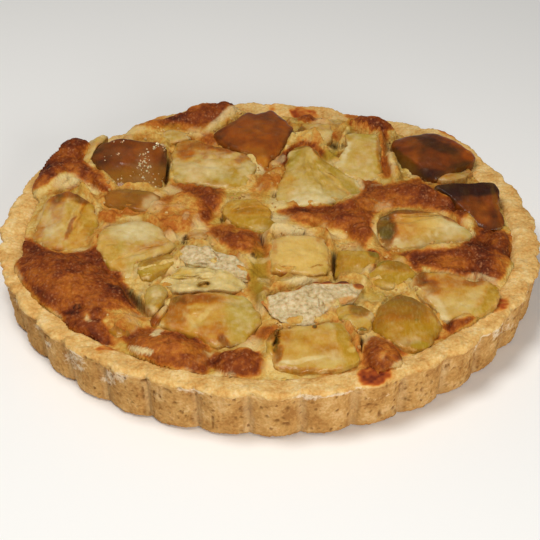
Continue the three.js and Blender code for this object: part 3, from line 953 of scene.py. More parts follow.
# %% The chunks
CHUNK_FOOT = 15.0
PLAIN = {
    "turn": 0, "tilt": 8, "square": 3, "narrow": 0, "crown": 1.5, "ridge": 0, "foot": CHUNK_FOOT,
    "base": (0.06, 0.2, 0.1), "dabs": [], "lumps": 0.9, "folds": [], "strength": 1.35, "stands_out": 0,
    "grainy": 0.16,
}
CRUMBS = [
    {
        "at": (-26, -39), "size": (42, 17), "turn": -28, "top": 35, "square": 2.6, "foot": 29,
        "outline": [
            (-43, -29), (-41, -25), (-35, -25), (-28, -27), (-22, -31), (-16, -36), (-11, -43), (-8, -50),
            (-9, -55), (-14, -53), (-20, -49), (-26, -45.5), (-33, -43), (-40, -41), (-43.5, -36),
        ],
        "base": (0.02, 0.0, 0.9),
        "dabs": [
            ("brown", -44, -27, 10, 5, 50, 0.25), ("green", -30, -46, 30, 5, -15, 0.5),
            ("brown", -9, -52, 4, 10, 0, 0.25), ("lift", -26, -33, 1.6, 9, 20, -1.2),
            ("lift", -33, -41, 6, 1.6, 0, -1.0),
        ],
    },
    {
        "at": (19, -74), "size": (47, 23), "turn": 14, "top": 34.5, "tilt": 10, "foot": 28,
        "outline": [
            (-3, -72), (0, -68), (6, -66), (14, -63), (22, -58.5), (30, -57.5), (40, -58), (45, -61),
            (44, -66), (40, -71), (34, -76), (30, -82), (27, -88), (22, -91.5), (14, -92.5), (5, -90),
            (1, -85), (-2, -78),
        ],
        "base": (0.03, 0.0, 0.8),
        "dabs": [
            ("brown", 30, -57, 34, 3, 3, 0.45), ("brown", 12, -62, 16, 3, 25, 0.35),
            ("brown", 43, -60, 6, 8, 0, 0.4), ("brown", -2, -76, 5, 16, 0, 0.22),
            ("brown", 35, -73, 18, 6, 20, 0.15), ("lift", 16, -77, 4, 2, 0, -1.5),
            ("lift", 24, -76, 2, 7, 0, -1.2),
        ],
    },
]
APPLES = [
    # the back row
    {
        "at": (-72, 57), "size": (39, 40), "top": 35.5, "tilt": 14, "square": 4.5,
        "outline": [
            (-93, 58), (-93, 68), (-90, 79), (-85, 84), (-80, 85.5), (-70, 82.5), (-57, 79.5),
            (-54.5, 77), (-54, 50), (-54.5, 35), (-62, 32), (-75, 32), (-82, 34), (-85, 42), (-89, 50),
        ],
        "base": (0.62, 0.1, 0.0), "finish": "caramelised", "strength": 1.0, "stands_out": 3,
        "dabs": [
            ("brown", -89, 66, 12, 36, -5, 0.11), ("brown", -76, 84, 30, 5, -8, 0.14),
            ("brown", -68, 66, 22, 20, 0, -0.06), ("green", -68, 40, 40, 30, 0, 0.5),
            ("brown", -68, 38, 38, 26, 0, -0.06), ("pale", -57, 73, 2.4, 9, 0, 0.8),
            ("brown", -55, 55, 4, 40, 0, 0.12), ("pale", -65, 56, 9, 34, 4, 0.8),
            ("pale", -68, 38, 26, 10, 0, 0.4), ("pale", -78, 68, 14, 16, 0, 0.25),
        ],
    },
    {
        "at": (-8, 84), "size": (43, 52), "top": 36, "tilt": 6, "square": 2.3,
        "outline": [
            (-30.5, 89), (-22, 100), (-15, 112), (-12, 115), (-6, 113.5), (2, 116.5), (6, 113), (11, 105),
            (14.5, 97), (13.5, 86), (9, 73), (4, 64), (1, 57), (-1, 50.5), (-5, 51), (-6, 59), (-9, 66),
            (-14, 69), (-20, 75), (-26, 81),
        ],
        "narrow": -0.35, "crown": 3, "base": (0.51, 0.05, 0.0), "finish": "caramelised", "strength": 1.0,
        "stands_out": 3, "lumps": 0.5,
        "dabs": [
            ("brown", -26, 87, 8, 16, -25, 0.18), ("brown", -22, 97, 4, 22, -40, 0.1),
            ("brown", 11.5, 80, 4, 24, -12, 0.18), ("brown", -1, 108, 24, 12, 0, 0.1),
            ("brown", -7, 72, 14, 14, 0, -0.08), ("green", -6, 66, 16, 12, 0, 0.3),
            ("brown", -18, 72, 4, 20, 35, 0.08), ("brown", -3, 55, 10, 18, 0, -0.25),
            # the two tiny pale dabs are painted highlights
            ("pale", 3, 102.5, 4, 1.6, -10, 0.5), ("pale", 5, 86, 1.2, 2.5, 0, 0.6),
        ],
    },
    {
        "at": (90, 61), "size": (46, 38), "turn": -14, "top": 36, "tilt": 12, "square": 2.6,
        "outline": [
            (66.5, 72), (68.5, 80), (75, 85.5), (85, 88.5), (93, 88), (99, 83.5), (105, 77), (110, 68),
            (111.5, 60), (108, 57), (100, 50), (92, 42), (87, 36), (83, 38), (79, 41), (76, 38), (71, 38),
            (69, 48), (67, 60),
        ],
        "folds": [(76, 60, 212, 32)],
        "crown": 3.5, "base": (0.69, 0.05, 0.0), "finish": "caramelised", "strength": 1.0,
        "stands_out": 10, "lumps": 0.5,
        "dabs": [
            ("brown", 104, 76, 38, 7, -53, -0.2), ("honey", 104, 76, 38, 7, -53, 0.8),
            ("brown", 92.5, 72.5, 26, 9, -45, 0.2), ("brown", 75, 76, 16, 10, 20, -0.1),
            ("brown", 76, 60, 10, 14, 0, -0.12), ("brown", 108, 62, 8, 14, 0, -0.2),
            ("honey", 108, 62, 8, 14, 0, 0.6), ("green", 73, 54, 9, 30, 18, 0.3),
            ("brown", 73, 54, 9, 30, 18, 0.16), ("brown", 68, 57, 3, 22, 14, 0.25),
            ("brown", 86, 43, 14, 10, 20, 0.2), ("brown", 100, 50, 16, 4, 30, 0.04),
            # the small pale dab is a painted highlight
            ("pale", 86, 52, 2, 3, 0, 0.5), ("green", 95, 86, 26, 4, -20, 0.3),
            ("brown", 95, 87, 30, 5, -20, -0.15),
        ],
    },
    {
        "at": (49, 62), "size": (27, 42), "top": 34.5, "tilt": 12, "square": 5, "crown": 0.8,
        "outline": [
            (41, 86), (45, 89.5), (60, 89), (61, 75), (60.5, 58), (59.5, 40), (52, 37.5), (44, 39),
            (38.5, 45), (34.5, 52), (38, 61), (42, 70), (44, 78),
        ],
        "base": (0.07, 0.3, 0.2),
        "dabs": [
            ("green", 51, 85, 20, 10, 0, 0.6), ("brown", 47, 89, 18, 4, 5, 0.2),
            ("brown", 44, 83, 8, 8, 0, 0.14), ("pale", 42, 67, 4, 24, -10, 0.8),
            ("pale", 37, 53, 5, 10, -30, 0.5), ("green", 57, 52, 8, 30, 0, 0.2),
            ("brown", 60, 60, 3, 50, 0, 0.2), ("green", 58, 81, 4, 3, 0, 0.8),
        ],
    },
    {
        "at": (27, 87), "size": (26, 22), "turn": -10, "top": 32, "tilt": 12,
        "outline": [
            (17, 93), (20, 98), (28, 99), (34, 97), (37, 90), (34, 82), (30, 76), (24, 75), (18, 80),
            (15, 86),
        ],
        "base": (0.12, 0.25, 0.1), "lumps": 1.6,
        "dabs": [
            ("brown", 21, 79, 10, 8, 0, 0.1), ("pale", 33, 86, 10, 14, 0, 0.3),
            ("brown", 19, 92, 4, 8, 0, 0.3), ("pale", 28, 100, 6, 14, -30, 0.5),
        ],
    },
    {
        "at": (-93, 70), "size": (7, 27), "turn": -10, "top": 35.5,
        "outline": [
            (-90, 89.5), (-87, 87), (-88.5, 82), (-92, 74), (-94, 62), (-95, 54), (-98, 57), (-99.5, 66),
            (-99, 76), (-96, 82), (-93, 86),
        ],
        "base": (0.1, 0.1, 0.3), "lumps": 0.3,
        "dabs": [("brown", -93, 62, 3, 30, -8, 0.25), ("pale", -89, 87, 6, 8, 0, 0.4)],
    },
    {
        "at": (-51, 86), "size": (17, 14), "top": 33, "base": (0.12, 0.3, 0.3),
        "outline": [
            (-58, 90), (-50, 93), (-44, 90), (-41, 84), (-46, 79), (-54, 79), (-58, 84),
        ],
        "dabs": [
            ("brown", -45, 75, 10, 12, 0, 0.35), ("green", -52, 85, 8, 8, 0, 0.4),
            ("pale", -41, 88, 7, 12, 0, 0.5),
        ],
    },
    {
        "at": (99, 43), "size": (24, 12), "turn": 10, "top": 30.5, "tilt": 10,
        "outline": [
            (88, 37), (94, 43), (101, 48), (106, 50), (108, 46), (104, 39), (98, 36.5), (92, 35),
        ],
        "base": (0.2, 0.1, 0.2), "stands_out": 0.5, "dabs": [("brown", 93, 43, 12, 8, 20, 0.1)],
    },
    # the second row
    {
        "at": (25, 40), "size": (38, 50), "top": 34.7, "tilt": 10, "narrow": 0.55, "crown": 0.5,
        "outline": [
            (20, 76.5), (25, 74), (28.5, 67), (31, 59), (36, 52), (42, 45), (47, 38), (49.5, 30),
            (48, 24.5), (42, 20), (35, 16), (27, 13), (17, 12), (8, 12.5), (4.5, 17), (5, 26), (7, 38),
            (9, 50), (10, 60), (12, 70), (15, 74.5),
        ],
        "ridge": 3, "base": (0.05, 0.35, 0.15), "lumps": 0.7,
        "dabs": [
            ("brown", 10, 54, 3, 20, -30, 0.4), ("brown", 15, 70, 3, 12, -60, 0.38),
            ("brown", 20, 74.5, 10, 2.5, 0, 0.4), ("brown", 26, 68, 2.5, 14, 25, 0.35),
            ("brown", 30, 56, 2.5, 14, 20, 0.25), ("green", 14, 58, 5, 24, -12, 0.7),
            ("green", 33, 50, 10, 22, 30, 0.7), ("green", 43, 28, 5, 24, 30, 0.9),
            # painted highlight: the pale band at the front edge (23, 17), whitened further by the negative
            # honey two lines down
            ("pale", 23, 17, 24, 9, 5, 1.3), ("pale", 47, 33, 3, 10, 15, 0.9),
            ("pale", 20, 27, 22, 18, 0, 0.4), ("green", 25, 42, 12, 44, 12, 0.4),
            ("honey", 10, 36, 8, 40, 0, 0.5), ("honey", 22, 19, 32, 16, 0, -0.8),
            ("honey", 30, 40, 20, 50, 20, 0.4), ("lift", 26, 44, 3.5, 40, 12, -0.9),
            ("lift", 21, 55, 3, 34, 0, 0.8), ("lift", 34, 38, 2.5, 30, 28, -1.0),
        ],
    },
    {
        "at": (103, 14), "size": (34, 34), "top": 33.5, "tilt": 20, "square": 4, "crown": 0,
        "outline": [
            (85.5, 30.5), (88, 33), (96, 35.5), (105, 34), (112, 36), (117.5, 35), (119.5, 31),
            (118.5, 20), (117.5, 5), (117, -6), (114, -11), (108, -11), (104, -7), (101, -1), (98.5, 8),
            (96, 15), (92, 22),
        ],
        "base": (0.70, 0.0, 0.0), "finish": "caramelised", "strength": 1.0, "stands_out": 12, "lumps": 0.5,
        "dabs": [
            ("brown", 104, 29, 38, 16, 3, 0.42), ("brown", 97, 20, 14, 12, 0, 0.12),
            ("brown", 108, 2, 8, 18, 0, -0.14), ("brown", 114, 14, 6, 20, 0, -0.1),
            ("brown", 117, 2, 3, 26, 0, -0.15), ("green", 116, 14, 3, 30, 0, 0.3),
            # the tiny pale dab is a painted highlight
            ("brown", 98, 8, 5, 16, 20, -0.05), ("pale", 101, 10, 1.5, 4, 20, 0.4),
        ],
    },
    {
        "at": (-27, 57), "size": (47, 46), "top": 34, "tilt": 5, "square": 2.8, "crown": 2.5,
        "outline": [
            (-51, 62), (-49, 75), (-46, 82), (-39, 82), (-33, 79), (-27, 76), (-20, 71), (-12, 67),
            (-9, 60), (-6, 52), (-8, 41), (-12, 33), (-20, 31), (-28, 33), (-38, 35), (-45, 37),
            (-50, 41), (-52, 50),
        ],
        "base": (0.09, 0.2, 0.2), "lumps": 1.3,
        "dabs": [
            ("brown", -44, 70, 10, 22, 10, 0.22), ("brown", -33, 76, 18, 10, 0, 0.22),
            ("brown", -22, 72, 14, 8, -30, 0.25), ("brown", -12, 62, 8, 14, -35, 0.22),
            ("brown", -18, 50, 10, 16, 0, 0.1), ("brown", -30, 68, 20, 10, -10, 0.1),
            # the narrow pale dab at the right edge (-5, 54) is a painted highlight
            ("pale", -5, 54, 4, 14, 10, 0.3), ("honey", -44, 72, 10, 22, 10, 0.9),
            ("honey", -32, 75, 20, 12, 0, 0.9), ("pale", -22, 64, 6, 5, 0, 0.7),
            ("pale", -34, 48, 26, 20, 0, 0.5), ("green", -18, 42, 30, 24, 0, 0.5),
            # the two small brown dabs at (-33, 62) and (-37, 58) are painted shade in small holes
            ("pale", -10, 48, 8, 14, 0, 0.4), ("brown", -33, 62, 4, 4, 0, 0.15),
            ("brown", -37, 58, 4, 5, 0, 0.12), ("green", -46, 38, 8, 20, 0, 0.5),
            ("brown", -25, 34, 20, 5, -15, 0.1),
        ],
    },
    {
        "at": (-71, 22), "size": (28, 18), "top": 32, "tilt": 10, "base": (0.43, 0.6, 0.1),
        "outline": [
            (-84, 24), (-81, 29), (-72, 31), (-62, 29.5), (-56, 24), (-55, 15), (-58, 9), (-66, 9),
            (-73, 12), (-80, 13), (-83.5, 16),
        ],
        "finish": "caramelised", "strength": 1.0,
        "dabs": [
            ("brown", -74, 12, 18, 8, 10, 0.1), ("brown", -67, 23, 12, 10, 0, 0.14),
            # painted highlight: less brown and pale at (-60, 17)
            ("brown", -60, 17, 10, 18, 0, -0.22), ("pale", -60, 17, 8, 14, 0, 0.6),
            ("brown", -64, 8, 8, 12, 0, -0.05), ("green", -66, 27, 22, 4, -10, 0.4),
        ],
    },
    {
        "at": (-102, 5), "size": (32, 44), "top": 33.5, "tilt": 9, "crown": 0.5, "ridge": 3.5,
        "outline": [
            (-112, 21), (-111, 25.5), (-107, 28.5), (-102, 29.5), (-97, 26), (-92, 20), (-88, 12),
            (-85, 3), (-84, -8), (-84, -16), (-87, -21), (-92, -24), (-98, -27), (-104, -27), (-110, -24),
            (-115, -19), (-117, -12), (-115.5, -3), (-114, 5), (-113.5, 14),
        ],
        "base": (0.14, 0.15, 0.15),
        "dabs": [
            ("brown", -111, 22, 12, 14, 30, 0.2), ("brown", -103, 26, 20, 8, 0, 0.24),
            ("brown", -95, 19, 12, 7, -45, 0.32), ("brown", -109, 16, 6, 14, -10, 0.1),
            ("brown", -106, 10, 7, 22, 0, 0.12), ("brown", -98.5, -6, 2.8, 26, -8, 0.26),
            ("honey", -92, -4, 12, 40, -8, 0.8), ("honey", -97, 12, 10, 24, 10, 0.7),
            ("green", -99, 12, 7, 18, 12, 0.7), ("pale", -100, 18, 5, 12, 10, 0.4),
            ("green", -90, 8, 5, 40, -8, 0.6), ("pale", -93, -8, 1.8, 12, -12, 0.7),
            ("pale", -108, -12, 7, 10, 0, 0.4), ("brown", -114, -12, 7, 16, 0, 0.1),
            ("pale", -107, -2, 11, 34, -5, 0.25), ("pale", -97, 6, 4, 30, -8, 0.6),
            ("green", -87, -8, 6, 20, 0, 0.5), ("lift", -100, -6, 3, 34, -8, -0.5),
            ("lift", -96, 4, 4, 34, -10, 1.2), ("pale", -117, 5, 6, 20, -15, 0.3),
        ],
    },
    # the middle
    {
        "at": (-8, 7), "size": (31, 27), "turn": -15, "top": 32.5, "square": 2.6, "crown": 2,
        "outline": [
            (-24, 10), (-22, 17), (-17, 20), (-10, 21), (-3, 17), (1, 10), (2.5, 1), (5, -6), (6, -12),
            (1, -14), (-5, -12), (-10, -9), (-16, -4), (-20, 2), (-24, 6),
        ],
        "base": (0.14, 0.7, 0.0), "stands_out": 2.5,
        "dabs": [
            ("brown", -9, 7, 18, 7, 0, 0.16), ("honey", -10, 14, 24, 10, 0, 0.8),
            ("pale", -16, 13, 3, 12, -35, 0.6), ("pale", -4, 14, 12, 3, 0, 0.3),
            ("honey", -9, 5, 34, 30, 0, 0.7), ("pale", -6, -9, 10, 6, 0, 0.4),
            ("green", -5, -3, 20, 8, 0, 0.3), ("brown", -2, 14, 10, 6, 0, 0.1),
            ("lift", -10, 9, 20, 4, 0, -0.6), ("lift", -15, 13, 3, 12, -35, 0.6),
        ],
    },
    {
        "at": (78, -8), "size": (50, 29), "turn": -4, "top": 32.5, "tilt": 14, "square": 2.4,
        "outline": [
            (54, -5), (57, 2), (63, 7), (70, 9), (79, 8.5), (87, 4), (93, -2), (98, -8), (101, -14),
            (99, -19), (93, -22), (84, -25), (76, -27), (68, -28), (60, -30), (56, -26), (54, -18),
            (53.5, -10),
        ],
        "crown": 2, "base": (0.10, 0.15, 0.3), "lumps": 0.8,
        "dabs": [
            ("brown", 75, 6, 40, 8, 0, 0.3), ("brown", 60, 3, 10, 10, 0, 0.22),
            ("brown", 92, -2, 20, 5, -45, 0.24), ("brown", 58, -9, 11, 24, 0, 0.42),
            ("green", 57, -14, 8, 34, 0, 0.05), ("brown", 58, -20, 7, 20, 0, 0.3),
            ("honey", 72, -6, 30, 22, 0, 0.8), ("green", 98, -14, 8, 16, 30, 0.6),
            ("green", 88, -4, 22, 5, -40, 0.5), ("pale", 87, -8, 20, 14, -30, 0.8),
            ("green", 86, -15, 18, 8, 0, 0.3), ("brown", 66, -10, 14, 20, 0, 0.1),
            # the small pale dabs from here to the first lift are painted highlights
            ("pale", 70, -11, 3, 6, 0, 0.6), ("pale", 79, -17, 2, 8, 0, 0.6),
            ("pale", 83, -16, 2, 7, 0, 0.5), ("pale", 63, -23, 5, 6, 0, 0.6),
            ("pale", 75, -25, 4, 5, 0, 0.4), ("lift", 72, -2, 36, 5, 8, -1.2),
            ("lift", 80, 3, 40, 4, 0, 0.8),
        ],
    },
    {
        "at": (-65, -22), "size": (38, 43), "turn": 18, "top": 32.5, "tilt": 6,
        "outline": [
            (-78, -4), (-70, -1), (-60, 0), (-54, -5), (-50, -13), (-46, -20), (-44, -25), (-50, -29),
            (-57, -34), (-62, -40), (-65, -48), (-67, -54), (-70, -48), (-76, -41), (-81, -32),
            (-84, -24), (-83, -15), (-81, -8),
        ],
        "base": (0.08, 0.15, 0.25), "lumps": 0.8,
        "dabs": [
            ("pale", -66, -10, 22, 18, 0, 0.7), ("green", -66, -14, 24, 20, 0, 0.25),
            ("brown", -57, -24, 24, 7, 30, 0.1), ("green", -77, -34, 9, 26, -22, 0.6),
            ("honey", -77, -32, 12, 36, 22, 0.7), ("brown", -80, -38, 3, 24, 22, 0.2),
            ("green", -64, -45, 8, 12, 0, 0.5), ("pale", -62, -17, 5, 4, 0, 0.5),
            ("brown", -62, -2, 10, 4, -20, 0.12), ("pale", -66, -55, 4, 14, 10, 0.6),
            ("lift", -62, -30, 30, 3, 35, -0.8),
        ],
    },
    {
        "at": (15, -32), "size": (31, 31), "top": 34, "square": 5, "crown": 0.8,
        "outline": [
            (2, -18), (8, -15), (16, -16), (24, -16), (28, -18), (30, -24), (29, -34), (28.5, -44),
            (28, -49), (22, -50.5), (14, -50), (6, -48.5), (1.5, -45), (1, -36), (1, -26),
        ],
        "base": (0.06, 0.2, 0.3), "lumps": 0.7,
        "dabs": [
            # the small pale dab at (21, -31) is a painted highlight
            ("pale", 15, -32, 26, 30, 0, 0.8), ("pale", 21, -31, 3, 8, 0, 0.9),
            ("honey", 16, -34, 34, 36, 0, 0.8), ("green", 26, -38, 4, 34, 0, 0.4),
            ("brown", 26, -20, 5, 10, 0, 0.12), ("brown", 6, -52, 12, 8, 0, 0.25),
            ("pale", 14, -55, 12, 8, 0, 0.7), ("brown", 3, -32, 3, 30, 0, 0.15),
            ("green", 4, -40, 6, 22, 0, 0.3),
        ],
    },
    {
        "at": (43, -37), "size": (23, 22), "turn": -20, "top": 31, "tilt": 10,
        "outline": [
            (33, -32), (38, -29), (46, -29.5), (52, -32), (53, -36), (51, -42), (48, -48), (46, -53),
            (42, -55), (36, -55), (32.5, -52), (32.5, -42),
        ],
        "base": (0.18, 0.8, 0.0),
        "dabs": [
            ("honey", 42, -40, 26, 26, 0, 0.5), ("brown", 51, -33, 5, 8, 35, 0.6),
            ("brown", 46, -29, 12, 3, -15, 0.25), ("pale", 42, -48, 8, 8, 0, 0.3),
            ("brown", 37, -54, 8, 10, 0, 0.1), ("brown", 34, -40, 4, 16, 0, 0.15),
        ],
    },
    {
        "at": (57, -46), "size": (29, 25), "turn": 15, "top": 33, "crown": 3,
        "outline": [
            (50, -46), (53, -40), (57, -36.5), (62, -38), (67, -42), (70, -48), (71, -53), (68, -56),
            (62, -59), (59, -61), (54, -60), (49, -58), (47, -54), (47, -50),
        ],
        "base": (0.14, 0.75, 0.0),
        "dabs": [
            ("honey", 60, -53, 26, 18, 0, 0.6), ("brown", 58, -43, 14, 10, 15, 0.2),
            ("brown", 57, -38, 16, 5, 15, 0.35), ("brown", 52, -43, 2, 8, -30, 0.4),
            ("pale", 54.5, -46, 5, 5, 20, 0.9), ("brown", 64, -45, 12, 14, 0, 0.14),
            ("green", 62, -55, 16, 10, 0, 0.4), ("pale", 56, -63, 12, 8, 10, 0.5),
        ],
    },
    {
        "at": (-34, -13), "size": (12, 9), "top": 31, "base": (0.22, 0.1, 0.3), "lumps": 0.4,
        "outline": [
            (-41, -12), (-38, -9.5), (-31, -9.5), (-28, -13), (-29, -18), (-34, -20), (-39, -18),
        ],
    },
    # the front
    {
        "at": (-53, -40), "size": (30, 16), "turn": 40, "top": 33, "square": 2.3, "crown": 3,
        "outline": [
            (-62, -40), (-58, -34), (-51, -29), (-45, -27), (-43.5, -32), (-45, -40), (-49, -45),
            (-55, -50), (-60, -52), (-63, -47),
        ],
        "base": (0.16, 0.6, 0.0),
        "dabs": [
            ("brown", -55, -36, 14, 6, 50, 0.22), ("brown", -48, -30, 12, 5, 20, 0.12),
            ("pale", -46, -47, 5, 4, 0, 0.5), ("green", -60, -47, 10, 8, 0, 0.3),
        ],
    },
    {
        "at": (-29, -53), "size": (38, 17), "turn": -3, "top": 32, "tilt": 14,
        "outline": [
            (-52, -56), (-50, -52), (-46, -46), (-42, -42), (-36, -43), (-28, -45), (-20, -48),
            (-13, -53), (-9, -56), (-9, -61), (-13, -65), (-20, -64), (-30, -63), (-38, -64), (-44, -65),
            (-47, -62), (-50, -59),
        ],
        "base": (0.0, 0.4, 0.8), "lumps": 2.4, "stands_out": 1.5, "grainy": 0.5,
        "dabs": [
            ("honey", -31, -55, 50, 24, 0, 0.25), ("green", -44, -51, 9, 7, 0, 1.3),
            ("honey", -42, -50, 14, 8, 0, 0.7), ("green", -28, -46, 30, 4, -8, 0.9),
            ("pale", -42, -60, 12, 7, -20, 0.6), ("pale", -35, -49, 12, 4, 0, 0.5),
            # painted shade: the hole at (-30.5, -59), pressed in on the next line, is darkened with brown
            # and green
            ("brown", -30.5, -59, 7, 6, 0, 0.3), ("green", -30.5, -59, 9, 8, 0, 1.2),
            ("lift", -30, -59.5, 7, 6, 0, -4.0), ("lift", -30, -62, 48, 10, 0, 1.8),
            ("green", -15, -56, 12, 9, -20, 1.0), ("pale", -22, -60, 8, 8, 0, 0.4),
            ("brown", -9, -58, 3, 14, 0, 0.3), ("lift", -36, -54, 22, 3, 0, -0.8),
            ("lift", -38, -49, 26, 4, 0, 0.6),
        ],
    },
    {
        "at": (-53, -64), "size": (14, 18), "top": 33, "square": 2.2, "crown": 4,
        "outline": [
            (-58, -60), (-54, -56), (-49, -56), (-46.5, -61), (-47, -68), (-50, -75), (-54, -78.5),
            (-57, -76), (-58.5, -69),
        ],
        "base": (0.10, 0.55, 0.1),
        # the pale dab at (-53, -66) is a painted highlight
        "dabs": [("pale", -53, -66, 5, 7, 0, 0.5), ("pale", -56, -80, 6, 10, 0, 0.8)],
    },
    {
        "at": (-24, -82), "size": (47, 38), "top": 33.5, "square": 3.2, "ridge": 2,
        "outline": [
            (-46, -68), (-40, -66), (-30, -64.5), (-20, -66), (-10, -67), (-6, -72), (-4.5, -80),
            (-4, -88), (-7, -94), (-9, -99), (-12, -104), (-18, -108), (-25, -107), (-30, -102),
            (-36, -97), (-43, -94), (-49, -91), (-48, -84), (-46.5, -76),
        ],
        "base": (0.10, 0.2, 0.15), "lumps": 0.8, "stands_out": 3.5,
        "dabs": [
            ("honey", -12, -84, 14, 40, 0, -0.3), ("brown", -34, -70, 26, 9, 0, 0.24),
            ("brown", -42, -82, 12, 30, 5, 0.18), ("honey", -34, -86, 28, 44, 0, 0.7),
            ("brown", -26, -98, 20, 14, 0, 0.1), ("brown", -20, -104, 5, 12, 10, 0.3),
            # the two narrow pale dabs in a V are painted highlights
            ("pale", -36, -87, 3, 16, 25, 0.9), ("pale", -29, -83, 3, 12, -30, 0.9),
            ("pale", -34, -77, 8, 3, 0, 0.5), ("green", -12, -84, 16, 40, 0, 0.6),
            ("pale", -11, -86, 12, 26, 0, 0.15), ("brown", -17, -74, 12, 8, 0, 0.08),
            ("brown", -5, -74, 3, 20, 0, 0.12), ("lift", -32, -88, 8, 10, 0, -1.0),
            ("brown", -2, -96, 10, 8, 40, 0.3),
        ],
    },
    {
        "at": (63, -84), "size": (31, 38), "top": 34, "square": 2.3, "crown": 5,
        "outline": [
            (62, -66), (57, -69), (52, -76), (49, -84), (46.5, -92), (47, -97), (51, -101), (56, -106),
            (63, -110), (70, -109), (73, -103), (77, -97), (78.5, -91), (77, -84), (73, -76), (68, -69),
        ],
        "base": (0.34, 0.5, 0.0), "lumps": 0.4,
        "dabs": [
            ("brown", 60, -77, 26, 24, 0, 0.15), ("brown", 62, -97, 26, 14, 0, -0.05),
            ("honey", 60, -92, 28, 22, 0, 0.7), ("green", 62, -96, 26, 14, 0, 0.4),
            ("pale", 63, -105, 12, 6, 0, 0.6), ("brown", 50, -94, 8, 12, 0, 0.15),
            ("green", 67, -108, 7, 6, 0, 0.6), ("pale", 57, -93, 2, 6, 20, 0.3),
            ("brown", 75, -90, 3, 20, 10, -0.1), ("brown", 67, -89, 2, 2, 0, 0.3),
        ],
    },
    {
        "at": (86, -65), "size": (48, 35), "turn": -16, "top": 32.5, "square": 3.4, "tilt": 6,
        "outline": [
            (70, -50), (76, -48), (84, -49), (92, -53), (97, -57), (103, -57), (108, -61), (109, -68),
            (105, -76), (100, -82), (94, -86), (88, -87), (82, -88), (78, -88), (77, -82), (73, -73),
            (68, -66), (66, -59), (68, -53),
        ],
        "base": (0.08, 0.15, 0.2), "lumps": 0.7,
        "dabs": [
            ("brown", 72, -55, 6, 16, -15, 0.32), ("brown", 76, -63, 9, 14, 0, 0.2),
            ("brown", 86, -57, 26, 12, -10, 0.12), ("honey", 86, -60, 34, 22, -10, 0.6),
            ("honey", 104, -68, 9, 36, -22, 0.8), ("brown", 97, -59, 10, 6, 0, 0.14),
            ("green", 104, -68, 6, 30, -22, 1.0), ("brown", 103, -66, 5, 28, -22, 0.1),
            ("pale", 96, -68, 8, 8, 0, 0.4), ("pale", 79, -84, 5, 20, 0, 0.6),
            ("brown", 82, -68, 5, 5, 0, 0.06), ("pale", 68, -60, 12, 10, 20, 0.3),
            ("green", 98, -82, 12, 6, 35, 0.7), ("pale", 76, -70, 5, 20, 20, 0.5),
        ],
    },
    {
        "at": (19, -104), "size": (45, 31), "top": 32, "base": (0.08, 0.3, 0.1), "lumps": 0.7,
        "outline": [
            (0, -99), (4, -94), (12, -92), (22, -91), (30, -88), (34, -90), (37, -98), (39, -108),
            (40, -115), (38, -120), (32, -124), (22, -126), (10, -125.5), (2, -122), (-1, -112),
        ],
        "dabs": [
            # painted shade: the slit at (3, -103), pressed in on the next line, is darkened
            ("brown", 0, -98, 10, 12, 0, 0.35), ("brown", 3, -103, 1.8, 15, -3, 0.95),
            ("lift", 3, -103, 2.2, 16, -3, -4.0), ("brown", 4, -114, 4, 14, -5, 0.35),
            ("brown", 10, -104, 12, 20, 0, 0.08), ("honey", 14, -106, 34, 26, 0, 0.6),
            ("green", 36, -117, 7, 14, 0, 1.0), ("honey", 36, -115, 8, 18, 0, 0.8),
            ("green", 33, -102, 5, 28, 8, 0.8), ("honey", 33, -102, 6, 28, 8, 0.8),
            # the pale streak at (14, -119) is a painted highlight
            ("pale", 14, -119, 20, 3.5, 12, 1.2), ("brown", 24, -107, 16, 20, 10, 0.05),
            ("pale", 25, -116, 10, 8, 0, 0.3), ("brown", 12, -126, 26, 5, 0, 0.2),
            # the small pale dab at (37, -111) is a painted highlight
            ("pale", 37, -111, 5, 4, 0, 0.9), ("brown", 21, -94, 1.6, 3, 0, 0.8),
        ],
    },
    {
        "at": (40, -83), "size": (20, 20), "top": 32, "square": 2.5, "crown": 2,
        "outline": [
            (31, -80), (36, -76), (43, -76), (47, -79), (49, -85), (47, -92), (44, -96), (40, -96),
            (37, -92), (33, -87),
        ],
        "base": (0.14, 0.4, 0.15), "lumps": 1.2,
        "dabs": [
            ("brown", 42, -80, 9, 14, 5, 0.35), ("green", 33, -92, 10, 12, 0, 0.5),
            ("brown", 25, -91, 3.5, 3, 0, 0.9), ("brown", 27, -86, 3, 8, 0, 0.3),
            ("pale", 48, -84, 3, 14, 0, 0.5), ("brown", 42, -97, 4, 6, 0, 0.7),
        ],
    },
    {
        "at": (-50, -78), "size": (7, 18), "turn": -20, "top": 32, "ridge": 2,
        "outline": [
            (-55, -89), (-52, -91), (-49, -85), (-46, -77), (-46.5, -73), (-50, -78), (-54, -84),
        ],
        "base": (0.18, 0.0, 0.1), "lumps": 0.3,
        "dabs": [("brown", -53, -88, 6, 10, -20, 0.22), ("pale", -49, -79, 3, 12, -20, 0.4)],
    },
    {
        "at": (-67, -87), "size": (13, 17), "top": 30, "crown": 2, "base": (0.34, 0.3, 0.1),
        "outline": [
            (-76, -84), (-72, -80), (-66, -82), (-62, -88), (-60, -95), (-62, -99), (-68, -99),
            (-73, -95), (-76, -90),
        ],
        "dabs": [("brown", -68, -90, 8, 12, 20, 0.1), ("brown", -63, -97, 6, 6, 0, 0.1)],
    },
]


def chunk_top(piece, x, y):
    """The height of a chunk's top, as its solid has it: tilted, crowned and ridged."""
    u, v = in_oval(x, y, piece["at"], piece["size"], piece["turn"])
    u = u / np.maximum(0.3, 1 - piece["narrow"] * np.clip(v, -1, 1))
    fall = piece["crown"] * np.minimum(u * u + v * v, 2) + piece["ridge"] * np.minimum(np.abs(u), 1.2)
    rise = np.clip(v, -1.2, 1.2) * piece["size"][1] / 2 * math.tan(math.radians(piece["tilt"]))
    return piece["top"] + rise - fall


